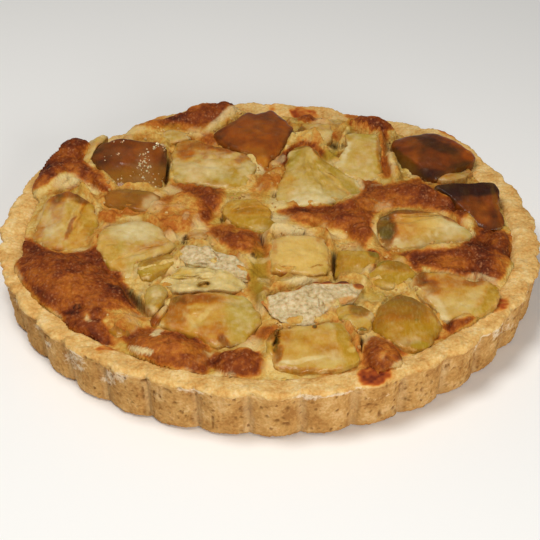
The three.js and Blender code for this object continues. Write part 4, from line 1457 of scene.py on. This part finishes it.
crumbs = [{**PLAIN, **piece, "node": f"crumb_{i + 1}"} for i, piece in enumerate(CRUMBS)]
apples = [{**PLAIN, **piece, "node": f"apple_{i + 1:02d}"} for i, piece in enumerate(APPLES)]
print(len(apples), "pieces of apple,", len(crumbs), "slabs of crumb")

# %% [markdown]
# ## Raising the batter
#
# A fine grid is raised to the batter's height. It swelled between the chunks and clings to them,
# so it rises towards each, unevenly, to a little below its top. Then what would lie inside the
# crust's wall is cut off.

# %% Raise the batter
BATTER_SPACING = 0.82
CLING_BELOW_TOP = 0.8
CLING_SPREAD = 2.3
CLING_REACH = 6.0

side = 2 * (BATTER_REACH + 2)
cells = round(side / BATTER_SPACING)
bpy.ops.object.select_all(action="DESELECT")
bpy.ops.mesh.primitive_grid_add(
    x_subdivisions=cells, y_subdivisions=cells, size=side * MM, location=(0, 0, 0)
)
batter = bpy.context.object
batter.name = "almond_batter"
points = points_of(batter)
height, browned = batter_height(points)
x, y = points[:, 0], points[:, 1]
lumpy = 1.5 * (billow(points, 10, 81) - 0.45) + 1.0 * (billow(points, 5.5, 82) - 0.45)
lumpy += 0.5 * (billow(points, 2.8, 83) - 0.45)
inward = step(INNER_RADIUS, INNER_RADIUS - 6, np.hypot(x, y))
smoother = 1 - 0.35 * step(0.2, 0.9, grain(points, 20, 84))
height = height + lumpy * (0.4 + 0.6 * inward) * smoother
points[:, 2] = height
uneven = 0.62 + 0.38 * grain(points, 7, 45)
below = CLING_BELOW_TOP + CLING_SPREAD * grain(points, 6, 46) + 0.6 * grain(points, 2.6, 47)
inside_rim = step(INNER_RADIUS, INNER_RADIUS - 10, np.hypot(x, y))
place = seen(points)
for piece in apples + crumbs:
    outside = -inside_by(place[:, 0], place[:, 1], piece["outline"])
    reached = chunk_top(piece, x, y) - below - piece["stands_out"] - 1.2 * np.maximum(0, -outside)
    missing = np.maximum(0, reached - height)
    hugging = 1 - (1 - uneven) * step(0.5, 3.5, outside)
    height += missing * hugging * inside_rim * step(CLING_REACH, 0, outside)
points[:, 2] = height
for at, size, turn, deep in BATTER_HOLES:
    wobbled = seen(points)[:, :2] + 0.6 * grain(points, 2.5, 51)[:, None]
    u, v = in_oval(*wobbled.T, at, size, turn)
    points[:, 2] -= deep * step(1.25, 0.5, np.hypot(u, v))
set_points(batter, points)

angle = np.arctan2(y, x)
radius = np.hypot(x, y)
in_wall = (radius > inner_radius(angle) + 2) & (points[:, 2] < rim_height(angle) - 1)
select_only(batter)
bpy.ops.object.mode_set(mode="EDIT")
bpy.ops.mesh.select_mode(type="VERT")
bpy.ops.mesh.select_all(action="DESELECT")
bpy.ops.object.mode_set(mode="OBJECT")
cut_off = in_wall | (radius > BATTER_REACH)
batter.data.vertices.foreach_set("select", cut_off)
bpy.ops.object.mode_set(mode="EDIT")
bpy.ops.mesh.delete(type="VERT")
bpy.ops.object.mode_set(mode="OBJECT")
browned = browned[~cut_off]
lumpy = lumpy[~cut_off]
lowest, highest = round(height.min(), 1), round(height.max(), 1)
print("batter:", len(batter.data.vertices), "points, from", lowest, "to", highest, "mm")

# %% [markdown]
# The surface follows: soft lumps everywhere, and where the oven browned it, a crust full of small
# burst bubbles. The holes and cracks, the bubbles and the creases between the lumps are darkened
# as painted shade. The edge is then drawn down inside the wall and closed underneath.

# %% Crust over the batter
BUBBLE_DEPTH = 0.45

points = points_of(batter)
ground = 0.13 + 0.16 * grain(points, 11, 60) + 0.08 * grain(points, 4, 59)
baked = dabbed(points, BATTER_DABS, "brown") * (1 + 0.12 * grain(points, 5, 61))
brown = np.maximum(ground, browned) + baked
brown = np.clip(brown + 0.05 * lumpy + 0.06 * grain(points, 2.2, 62), 0, 1)
crusty = step(0.15, 0.6, brown)
bubbles = step(0.45, 0.8, grain(points, 1.9, 63)) * crusty
relief = 0.3 * grain(points, 4.5, 64) + 0.3 * grain(points, 2.0, 65)
relief += crusty * (0.35 * grain(points, 3.2, 66) + 0.2 * grain(points, 1.7, 67))
push(batter, relief - BUBBLE_DEPTH * bubbles)

points = points_of(batter)
place = seen(points)
# Painted shade: darker in the holes and cracks, in the burst bubbles, and in the creases between the
# lumps.
painted_shade = np.zeros(len(points))
for at, size, turn, _ in BATTER_HOLES:
    u, v = in_oval(place[:, 0], place[:, 1], at, size, turn)
    painted_shade = np.maximum(painted_shade, step(1.3, 0.6, np.hypot(u, v)))
clinging = np.zeros(len(points))
for piece in apples + crumbs:
    outside = inside_by(place[:, 0], place[:, 1], piece["outline"])
    clinging = np.maximum(clinging, np.exp(-np.abs(outside) / 1.3))
crease_shade = step(-0.6, -1.25, lumpy) * (1 - crusty)
store(batter, "brown", brown + 0.06 * clinging * step(0.0, 0.6, grain(points, 7, 68)))
store(batter, "painted_shade", painted_shade + 0.25 * bubbles + 0.3 * crease_shade)
for effect, much, low, size, seed in (("pale", 0.6, 0.15, 8, 69), ("green", 0.4, 0.1, 9, 58)):
    moist = much * step(low, 0.7, grain(points, size, seed)) * (1 - crusty)
    store(batter, effect, dabbed(points, BATTER_DABS, effect) + moist)

for ring_radius, ring_height in ((118.0, 16.0), (115.4, 4.8)):
    ring = new_ring(batter)
    points = points_of(batter)
    shrink = np.minimum(1, ring_radius / np.hypot(points[ring, 0], points[ring, 1]))
    points[ring, :2] *= shrink[:, None]
    points[ring, 2] = ring_height
    set_points(batter, points)
close_underneath(batter)
print("batter closed:", len(batter.data.polygons), "faces")

# %% [markdown]
# Almond batter is egg, butter, sugar and ground almonds. Where the fruit kept it moist it is a
# pale, soft crumb. Where it stood up it browned, from gold through copper to nearly black, with
# the coarse grain of the almonds still lighter in the dark crust. A ramp over the stored browning
# gives these colours, which a fine and a broad noise make uneven, and a Voronoi pattern gives the
# almond specks. The browns turn redder as they darken, as burnt sugar does.

# %% Almond batter
BATTER_BROWNS = [
    (0.00, "#D6B870"),
    (0.12, "#CBA04E"),
    (0.25, "#C08234"),
    (0.38, "#AF631D"),
    (0.50, "#984F14"),
    (0.62, "#7E390D"),
    (0.78, "#5E2509"),
    (1.00, "#2A1008"),
]
ALMOND_GRAIN = 1.6 * MM


def varied(tree, value, by, much):
    """A stored value made uneven by a noise, and still about the same on average."""
    centred = add_node(tree, "Math", {0: by, 1: 0.5}, operation="SUBTRACT")
    return add_node(tree, "Math", {0: centred, 1: much, 2: value}, operation="MULTIPLY_ADD")


almond_batter, tree, shader = new_material("baked almond batter")
place = add_node(tree, "TexCoord", output="Object")
stored = {
    name: add_node(tree, "Attribute", output="Fac", attribute_name=name)
    for name in ("brown", "green", "pale", "painted_shade")
}
fine = add_node(tree, "TexNoise", {"Vector": place, "Scale": 1 / (1.5 * MM), "Detail": 4.0})
broad = add_node(tree, "TexNoise", {"Vector": place, "Scale": 1 / (5 * MM), "Detail": 4.0})
uneven = varied(tree, varied(tree, stored["brown"], broad, 0.3), fine, 0.42)
colour = add_node(tree, "ValToRGB", {0: uneven}, stops=BATTER_BROWNS)
wavy = add_node(
    tree, "TexNoise", {"Vector": place, "Scale": 1 / (2.5 * MM), "Detail": 3.0}, "Color"
)
wavy = add_node(
    tree, "VectorMath", {0: wavy, 1: (3.5 * MM,) * 3, 2: place}, operation="MULTIPLY_ADD"
)
cells = add_node(tree, "TexVoronoi", {"Vector": wavy, "Scale": 1 / ALMOND_GRAIN}, None)
almond = add_node(tree, "ValToRGB", {0: cells.outputs["Distance"]}, stops=[(0.12, 1.0), (0.55, 0.0)])
some = add_node(tree, "SeparateColor", {0: cells.outputs["Color"]})
some = add_node(tree, "MapRange", {0: some, 1: 0.35, 2: 0.85})
on_crust = add_node(tree, "MapRange", {0: stored["brown"], 1: 0.3, 2: 0.6, 4: 0.62})
almond = add_node(tree, "Math", {0: almond, 1: some}, operation="MULTIPLY")
almond = add_node(tree, "Math", {0: almond, 1: on_crust}, operation="MULTIPLY")
colour = add_node(tree, "Mix", {0: almond, 6: colour, 7: "#B2764A"}, 2, data_type="RGBA")
shares = {
    name: add_node(tree, "Math", {0: stored[name], 1: strength}, operation="MULTIPLY")
    for name, strength in (("green", 0.7), ("pale", 0.85), ("painted_shade", 0.85))
}
colour = add_node(tree, "Mix", {0: shares["green"], 6: colour, 7: "#98801A"}, 2, data_type="RGBA")
pale = varied(tree, shares["pale"], fine, 0.8)
some_pale = add_node(tree, "MapRange", {0: stored["pale"], 2: 0.2})
pale = add_node(tree, "Math", {0: pale, 1: some_pale}, operation="MULTIPLY")
colour = add_node(tree, "Mix", {0: pale, 6: colour, 7: "#DCC58C"}, 2, data_type="RGBA")
# painted shade: the stored shade darkens the holes, bubbles and creases
colour = add_node(tree, "Mix", {0: shares["painted_shade"], 6: colour, 7: "#2A1208"}, 2, data_type="RGBA")
blister = add_node(
    tree, "Math", {0: cells.outputs["Distance"], 1: -0.8, 2: fine}, operation="MULTIPLY_ADD"
)
bump = add_node(tree, "Bump", {"Height": blister, "Strength": 0.6, "Distance": 0.8 * MM})
set_shader(tree, shader, colour, bump, {
    "Roughness": 0.6,
    "IOR": 1.45,
    "Specular IOR Level": 0.15,
    "Subsurface Weight": 0.12,
    "Subsurface Scale": 2.0 * MM,
    "Subsurface Radius": (1.0, 0.5, 0.25),
})
finish_piece(batter, almond_batter, "batter")

# %% [markdown]
# ## The chunks' form
#
# Each chunk starts from a blank: a small grid whose edge is extruded down in levels and closed
# underneath. One fine blank serves the big chunks and one coarse blank the small ones. A copy is
# then moulded into its chunk: its edge takes the outline that the photograph shows, its top takes
# the solid's tilt and crown, with folds where a knife left an edge, and a shoulder rounds it.
# The outline is given as seen from the camera, so each point is slid along its line of sight
# until it lies on the chunk's top.

# %% Blanks
SHOULDER = 0.8  # where on the blank the rounded shoulder starts
SHOULDER_IN = 0.86  # how far out of the chunk that is
SHOULDER_DROP = 0.095  # how much of the chunk's height it falls
FOOT_IN = 0.9
FOLD_SOFTNESS = 0.5
SIDE_LEVELS = (0.84, 0.80, 0.76, 0.72, 0.68, 0.63, 0.57, 0.5, 0.35, 0.0)


def make_blank(name, cells):
    """Makes a closed block: a grid at level 1, its sides in levels down to 0, and a bottom."""
    bpy.ops.object.select_all(action="DESELECT")
    bpy.ops.mesh.primitive_grid_add(
        x_subdivisions=cells, y_subdivisions=cells, size=2 * MM, location=(0, 0, 1 * MM)
    )
    bpy.ops.object.transform_apply(location=True, rotation=False, scale=False)
    blank = bpy.context.object
    blank.name = name
    for level in SIDE_LEVELS:
        ring = new_ring(blank)
        points = points_of(blank)
        points[ring, 2] = level
        set_points(blank, points)
    close_underneath(blank)
    return blank


def reach_of(corners, middle, directions):
    """How far an outline with these corners is from its middle, in each direction."""
    across = np.zeros(len(directions))
    for (x0, y0), (x1, y1) in zip(corners, corners[1:] + corners[:1]):
        x0, y0, dx, dy = x0 - middle[0], y0 - middle[1], x1 - x0, y1 - y0
        turn = directions[:, 0] * dy - directions[:, 1] * dx
        turn = np.where(np.abs(turn) < 1e-9, 1e-9, turn)
        far = (x0 * dy - y0 * dx) / turn
        along = (x0 * directions[:, 1] - y0 * directions[:, 0]) / turn
        hit = (far > 0) & (along >= -1e-6) & (along <= 1 + 1e-6)
        across = np.maximum(across, np.where(hit, far, 0))
    return across


def moulded(piece, blank_points):
    """Places a blank's points in a chunk's form. Gives the places, and how far out each lies."""
    u, v, level = blank_points.T
    out = np.maximum(np.maximum(np.abs(u), np.abs(v)), 1e-6)
    turned = np.clip((out - SHOULDER) / (1 - SHOULDER), 0, 1) * math.pi / 2
    reach = np.where(
        out < SHOULDER,
        out * SHOULDER_IN / SHOULDER,
        SHOULDER_IN + (1 - SHOULDER_IN) * np.sin(turned),
    )
    share = 1 - SHOULDER_DROP * (1 - np.cos(turned))
    on_side = level < 0.999
    side = FOOT_IN + (1 - FOOT_IN) * level / (1 - SHOULDER_DROP)
    reach = np.where(on_side, side * np.minimum(out, 1), reach)
    share = np.where(on_side, level, share)
    c, s = math.cos(math.radians(piece["turn"])), math.sin(math.radians(piece["turn"]))
    u, v = u * piece["size"][0], v * piece["size"][1]
    directions = np.stack([c * u - s * v, s * u + c * v], 1)
    directions /= np.maximum(np.hypot(directions[:, 0], directions[:, 1]), 1e-9)[:, None]
    middle = np.mean(piece["outline"], 0)
    turns = np.linspace(-math.pi, math.pi, 361)
    ring = reach_of(piece["outline"], middle, np.stack([np.cos(turns), np.sin(turns)], 1))
    rounded = sum(np.roll(ring[:-1], shift) for shift in range(-3, 4)) / 7
    rounded = np.append(rounded, rounded[0])
    edge = np.interp(np.arctan2(directions[:, 1], directions[:, 0]), turns, rounded)
    flat = middle + directions * (reach * edge)[:, None]
    flat = np.column_stack([flat, np.full(len(u), SEEN_LEVEL)])
    ragged = min(1.0, min(piece["size"]) / 24) * step(0.2, 0.9, out)
    flat[:, 0] += ragged * (1.2 * grain(flat, 8, 71) + 0.7 * grain(flat, 3.5, 72))
    flat[:, 1] += ragged * (1.2 * grain(flat, 8, 73) + 0.7 * grain(flat, 3.5, 74))
    relief = dabbed(flat, piece["dabs"], "lift") * step(1.0, 0.8, out)
    for fold_x, fold_y, downhill, slope in piece["folds"]:
        along = (flat[:, 0] - fold_x) * math.cos(math.radians(downhill))
        along = along + (flat[:, 1] - fold_y) * math.sin(math.radians(downhill))
        fallen = FOLD_SOFTNESS * np.logaddexp(0, along / FOLD_SOFTNESS)
        relief = relief - fallen * math.tan(math.radians(slope))
    places = flat.copy()
    for _ in range(6):
        top = chunk_top(piece, places[:, 0], places[:, 1]) + relief
        away = (CAMERA_AT[2] - top) / (CAMERA_AT[2] - SEEN_LEVEL)
        places = CAMERA_AT + (flat - CAMERA_AT) * away[:, None]
    places[:, 2] = piece["foot"] + (top - piece["foot"]) * share
    return places, np.where(on_side, 1.0, out)


def make_chunk(piece, seed):
    """Copies a blank, moulds it, roughens it, and stores what the material needs to know."""
    blank = fine_blank if max(piece["size"]) >= 18 else coarse_blank
    select_only(blank)
    bpy.ops.object.duplicate()
    chunk = bpy.context.object
    chunk.name = "baked_" + piece["node"]
    blank_points = points_of(chunk)
    points, out = moulded(piece, blank_points)
    visible = step(0.3, 0.6, blank_points[:, 2])
    set_points(chunk, points)
    lumps = 0.9 * grain(points, 10, seed) + 0.4 * (billow(points, 6.5, seed + 8) - 0.45)
    lumps = piece["lumps"] * (lumps + 0.35 * grain(points, 4.2, seed + 1))
    fine = piece["grainy"] * grain(points, 2.0, seed + 2)
    push(chunk, visible * (lumps + fine))
    points = points_of(chunk)
    edge = step(0.72, 0.95, out)
    brown, green, pale = piece["base"]
    uneven = 0.08 * grain(points, 5, seed + 3) + 0.05 * grain(points, 2, seed + 4)
    brown = brown + piece["strength"] * dabbed(points, piece["dabs"], "brown") + uneven
    brown = np.minimum(brown, 0.98)
    green = green + dabbed(points, piece["dabs"], "green")
    green = green + 0.1 * edge + 0.12 * grain(points, 7, seed + 5)
    pale = pale + dabbed(points, piece["dabs"], "pale") + 0.15 * grain(points, 6, seed + 6)
    store(chunk, "brown", brown + 0.16 * edge * step(0.0, 0.8, grain(points, 6, seed + 7)))
    store(chunk, "crumb", step(0.78, 1.0, out) * step(-0.35, 0.45, grain(points, 6, seed + 9)))
    store(chunk, "green", green)
    store(chunk, "honey", 0.12 + dabbed(points, piece["dabs"], "honey"))
    store(chunk, "pale", pale)
    return chunk


fine_blank = make_blank("fine blank", 72)
coarse_blank = make_blank("coarse blank", 26)
print("blanks of", len(fine_blank.data.polygons), "and", len(coarse_blank.data.polygons), "faces")

# %% [markdown]
# ## Apple and crumb
#
# Baked apple is wet and a little see-through: straw yellow, greener where juice soaked it, copper
# where its top caught the heat. So its colour has stored amounts, which broad and fine noises
# make uneven, it lets light in, and it is glossy under a thin coat of juice. The pale amount is
# whitish flesh, and on a few chunks painted highlights. The last amount, crumb, is batter that
# stuck to its shoulders. The four big chunks at the back and on the right, and a smaller one on
# the left, are caramelised: the same flesh, but a little glossier and plainer, with hardly any
# batter on it.

# %% Apple flesh
APPLE_BROWNS = [
    (0.00, "#C9AA60"),
    (0.14, "#C19342"),
    (0.28, "#B36E1C"),
    (0.45, "#944B0E"),
    (0.62, "#74360B"),
    (0.80, "#4A210B"),
    (1.00, "#2A120A"),
]
EDGE_CRUMBS = [(0.35, "#A8742C"), (0.46, "#C0924A"), (0.56, "#CDAA66"), (0.68, "#DCC48A")]


def apple_material(name, soaked_tint, coat, roughness, streaks, mottling, crumbs_on_it):
    material, tree, shader = new_material(name)
    place = add_node(tree, "TexCoord", output="Object")
    stored = {
        kind: add_node(tree, "Attribute", output="Fac", attribute_name=kind)
        for kind in ("brown", "green", "pale", "honey", "crumb")
    }
    broad, middling, fine = (
        add_node(tree, "TexNoise", {"Vector": place, "Scale": 1 / (size * MM), "Detail": 4.0})
        for size in (7.0, 3.2, 1.5)
    )
    fibre = add_node(tree, "Mapping", {"Vector": place, "Scale": (1.0, 0.35, 0.35)})
    fibre = add_node(tree, "TexNoise", {"Vector": fibre, "Scale": 1 / (1.1 * MM), "Detail": 2.0})
    brown = varied(tree, stored["brown"], broad, 0.35 * mottling)
    brown = varied(tree, brown, middling, 0.3 * mottling)
    colour = add_node(tree, "ValToRGB", {0: brown}, stops=APPLE_BROWNS)
    soaked = add_node(tree, "Math", {0: stored["green"], 1: 0.75}, operation="MULTIPLY")
    soaked = varied(tree, soaked, broad, 0.7 * mottling)
    colour = add_node(tree, "Mix", {0: soaked, 6: colour, 7: soaked_tint}, 2, data_type="RGBA")
    # whitish flesh, and on a few chunks painted highlights
    whitish_and_highlight = add_node(tree, "Math", {0: stored["pale"], 1: 0.6}, operation="MULTIPLY")
    whitish_and_highlight = varied(tree, whitish_and_highlight, middling, 1.3 * mottling)
    unbaked = add_node(tree, "MapRange", {0: stored["brown"], 1: 0.2, 2: 0.5, 3: 1.0, 4: 0.1})
    whitish_and_highlight = add_node(tree, "Math", {0: whitish_and_highlight, 1: unbaked}, operation="MULTIPLY")
    colour = add_node(tree, "Mix", {0: whitish_and_highlight, 6: colour, 7: "#DACB9C"}, 2, data_type="RGBA")
    honey = {0: varied(tree, stored["honey"], broad, 0.5 * mottling), 6: colour, 7: "#FFE7A4"}
    colour = add_node(tree, "Mix", honey, 2, data_type="RGBA", blend_type="MULTIPLY")
    streak = add_node(tree, "MapRange", {0: fibre, 1: 0.5, 2: 0.75})
    streak = add_node(tree, "Math", {0: streak, 1: streaks}, operation="MULTIPLY")
    colour = add_node(tree, "Mix", {0: streak, 6: colour, 7: "#D6BE7C"}, 2, data_type="RGBA")
    baked_on = varied(tree, stored["crumb"], fine, 1.6)
    baked_on = add_node(tree, "MapRange", {0: baked_on, 1: 0.55, 2: 0.75, 4: crumbs_on_it})
    crumb_tone = add_node(tree, "ValToRGB", {0: middling}, stops=EDGE_CRUMBS)
    colour = add_node(tree, "Mix", {0: baked_on, 6: colour, 7: crumb_tone}, 2, data_type="RGBA")
    height = add_node(tree, "Math", {0: fine, 1: fibre}, operation="ADD")
    bump = add_node(tree, "Bump", {"Height": height, "Strength": 0.35, "Distance": 0.5 * MM})
    set_shader(tree, shader, colour, bump, {
        "Roughness": roughness,
        "IOR": 1.38,
        "Specular IOR Level": 0.18,
        "Coat Weight": coat,
        "Coat Roughness": 0.13,
        "Coat IOR": 1.4,
        "Subsurface Weight": 0.3,
        "Subsurface Scale": 4.0 * MM,
        "Subsurface Radius": (1.0, 0.6, 0.3),
    })
    return material


baked_apple = apple_material(
    "baked apple flesh", "#A48A20", coat=0.24, roughness=0.42, streaks=0.15, mottling=1.0,
    crumbs_on_it=0.85,
)
caramelised_apple = apple_material(
    "caramelised apple", "#8E6618", coat=0.3, roughness=0.4, streaks=0.0, mottling=0.35,
    crumbs_on_it=0.15,
)
for i, piece in enumerate(apples):
    chunk = make_chunk(piece, 100 + 10 * i)
    if piece.get("finish") == "caramelised":
        finish_piece(chunk, caramelised_apple, piece["node"])
    else:
        finish_piece(chunk, baked_apple, piece["node"])
print("apple pieces:", len(apples))

# %% [markdown]
# The two slabs of crumb are cake that tore open as it rose: pale, dry and matte, with the ragged
# pores of a sponge and a few toasted edges. They get coarser lumps than nearly all the apple.

# %% Torn crumb
CRUMB_TONES = [(0.30, "#9C7E4E"), (0.40, "#B89E6E"), (0.52, "#C8B082"), (0.68, "#D6C49C")]
CRUMB_PORE = 1.9 * MM

torn_crumb, tree, shader = new_material("torn almond crumb")
place = add_node(tree, "TexCoord", output="Object")
brown, green = (
    add_node(tree, "Attribute", output="Fac", attribute_name=name) for name in ("brown", "green")
)
pores = add_node(tree, "TexNoise", {"Vector": place, "Scale": 1 / CRUMB_PORE, "Detail": 8.0})
colour = add_node(tree, "ValToRGB", {0: pores}, stops=CRUMB_TONES)
toast = add_node(tree, "ValToRGB", {0: brown}, stops=BATTER_BROWNS)
toasted = add_node(tree, "MapRange", {0: brown, 1: 0.08, 2: 0.3})
colour = add_node(tree, "Mix", {0: toasted, 6: colour, 7: toast}, 2, data_type="RGBA")
soaked = add_node(tree, "Math", {0: green, 1: 0.6}, operation="MULTIPLY")
colour = add_node(tree, "Mix", {0: soaked, 6: colour, 7: "#A8963E"}, 2, data_type="RGBA")
bump = add_node(tree, "Bump", {"Height": pores, "Strength": 0.4, "Distance": 0.6 * MM})
set_shader(tree, shader, colour, bump, {
    "Roughness": 0.75,
    "IOR": 1.4,
    "Subsurface Weight": 0.2,
    "Subsurface Scale": 3.0 * MM,
})
for i, piece in enumerate(crumbs):
    slab = make_chunk({**piece, "lumps": 2.0, "grainy": 0.4}, 500 + 10 * i)
    finish_piece(slab, torn_crumb, piece["node"])
print("crumb slabs:", len(crumbs))

for blank in (fine_blank, coarse_blank):
    bpy.data.objects.remove(blank)

# %% [markdown]
# ## Sugar and crumbs
#
# Coarse sugar lies on the block at the back left, and crumbs of baked batter lie everywhere
# between the chunks. One small block with cut corners is modelled for each kind, and copies of
# it are set down on the surface: at random, turned and stretched at random, but the same on each
# run. A kind is one mesh.

# %% Strewn grains
def strewn(name, under, likely, count, sizes, seed):
    """Sets copies of a small block on a piece's upper side, more of them where it is likely."""
    bpy.ops.object.select_all(action="DESELECT")
    bpy.ops.mesh.primitive_cube_add(size=1 * MM, location=(0, 0, 0))
    block = bpy.context.object
    block.name = name
    bpy.ops.object.mode_set(mode="EDIT")
    bpy.ops.mesh.select_all(action="SELECT")
    bpy.ops.mesh.bevel(offset=0.3 * MM, segments=1, affect="VERTICES")
    bpy.ops.object.mode_set(mode="OBJECT")
    shape = points_of(block)
    corners = [tuple(face.vertices) for face in block.data.polygons]
    normals = np.empty(len(under.data.vertices) * 3)
    under.data.vertices.foreach_get("normal", normals)
    up = normals.reshape(-1, 3)[:, 2] > 0.3
    chance = np.maximum(likely, 0) * up
    draw = np.random.default_rng(seed)
    chosen = draw.choice(len(chance), count, p=chance / chance.sum())
    middles = points_of(under)[chosen] + draw.uniform(-0.4, 0.4, (count, 3))
    turns = np.linalg.qr(draw.normal(size=(count, 3, 3)))[0]
    turns[np.linalg.det(turns) < 0] *= -1
    across = draw.uniform(*sizes, (count, 1)) * draw.uniform(0.6, 1.3, (count, 3))
    points = np.einsum("nij,knj->nki", turns, shape[:, None, :] * across[None]) + middles[:, None, :]
    faces = [tuple(i + n * len(shape) for i in face) for n in range(count) for face in corners]
    heap = bpy.data.meshes.new(name)
    heap.from_pydata((points.reshape(-1, 3) * MM).tolist(), [], faces)
    block.data = heap
    store(block, "tone", np.repeat(draw.uniform(0, 1, count), len(shape)))
    print(name, count, "grains")
    return block


def grain_material(name, tones, roughness, see_through):
    material, tree, shader = new_material(name)
    tone = add_node(tree, "Attribute", output="Fac", attribute_name="tone")
    colour = add_node(tree, "ValToRGB", {0: tone}, stops=tones)
    tree.links.new(colour, shader.inputs["Base Color"])
    shader.inputs["Roughness"].default_value = roughness
    shader.inputs["IOR"].default_value = 1.5
    shader.inputs["Subsurface Weight"].default_value = see_through
    shader.inputs["Subsurface Scale"].default_value = 0.5 * MM
    return material


def strew(heap, material):
    """Gives a heap of grains its material. It replaces no solid."""
    heap.data.materials.append(material)
    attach(heap, "root")


# %% [markdown]
# Sugar is strewn first. It is partly see-through, so it takes on a little of the brown below it
# and looks off-white. The batter's crumbs are gold and dull, and most lie close to the fruit.

# %% Strew them
SUGAR_TONES = [(0.0, "#C09A66"), (0.7, "#D4BA8E"), (1.0, "#E8DAB8")]
CRUMB_GOLDS = [(0.0, "#B8823C"), (0.6, "#C2964E"), (1.0, "#D2B070")]
SUGAR_DABS = [
    ("sugar", -65, 55, 7, 26, 0, 1.0),
    ("sugar", -58, 75, 7, 9, 0, 0.9),
    ("sugar", -79, 66, 4, 6, 0, 0.7),
    ("sugar", -83, 69, 4, 6, 0, 0.7),
    ("sugar", -80, 80, 7, 4, 0, 0.5),
    ("sugar", -66, 38, 24, 16, 0, 0.4),
    ("sugar", -86, 62, 5, 8, 0, 0.3),
]

sugared = bpy.data.objects["baked_apple_01"]
likely = dabbed(points_of(sugared), SUGAR_DABS, "sugar")
heap = strewn("sugar_grains", sugared, likely, count=120, sizes=(0.3, 1.0), seed=5)
strew(heap, grain_material("coarse sugar", SUGAR_TONES, roughness=0.35, see_through=0.4))

surface = points_of(batter)
place = seen(surface)
near_fruit = np.zeros(len(surface))
for piece in apples + crumbs:
    outside = inside_by(place[:, 0], place[:, 1], piece["outline"])
    near_fruit = np.maximum(near_fruit, np.exp(-np.abs(outside) / 2.0))
from_middle = np.hypot(surface[:, 0], surface[:, 1])
open_batter = step(INNER_RADIUS, INNER_RADIUS - 5, from_middle) * (surface[:, 2] > 24)
browning = np.empty(len(surface))
batter.data.attributes["brown"].data.foreach_get("value", browning)
likely = open_batter * (0.1 + near_fruit) * step(-0.3, 0.6, grain(surface, 14, 91))
likely = likely * step(0.5, 0.25, browning)
heap = strewn("batter_crumbs", batter, likely, count=520, sizes=(0.5, 1.4), seed=6)
strew(heap, grain_material("baked batter crumbs", CRUMB_GOLDS, roughness=0.8, see_through=0.1))
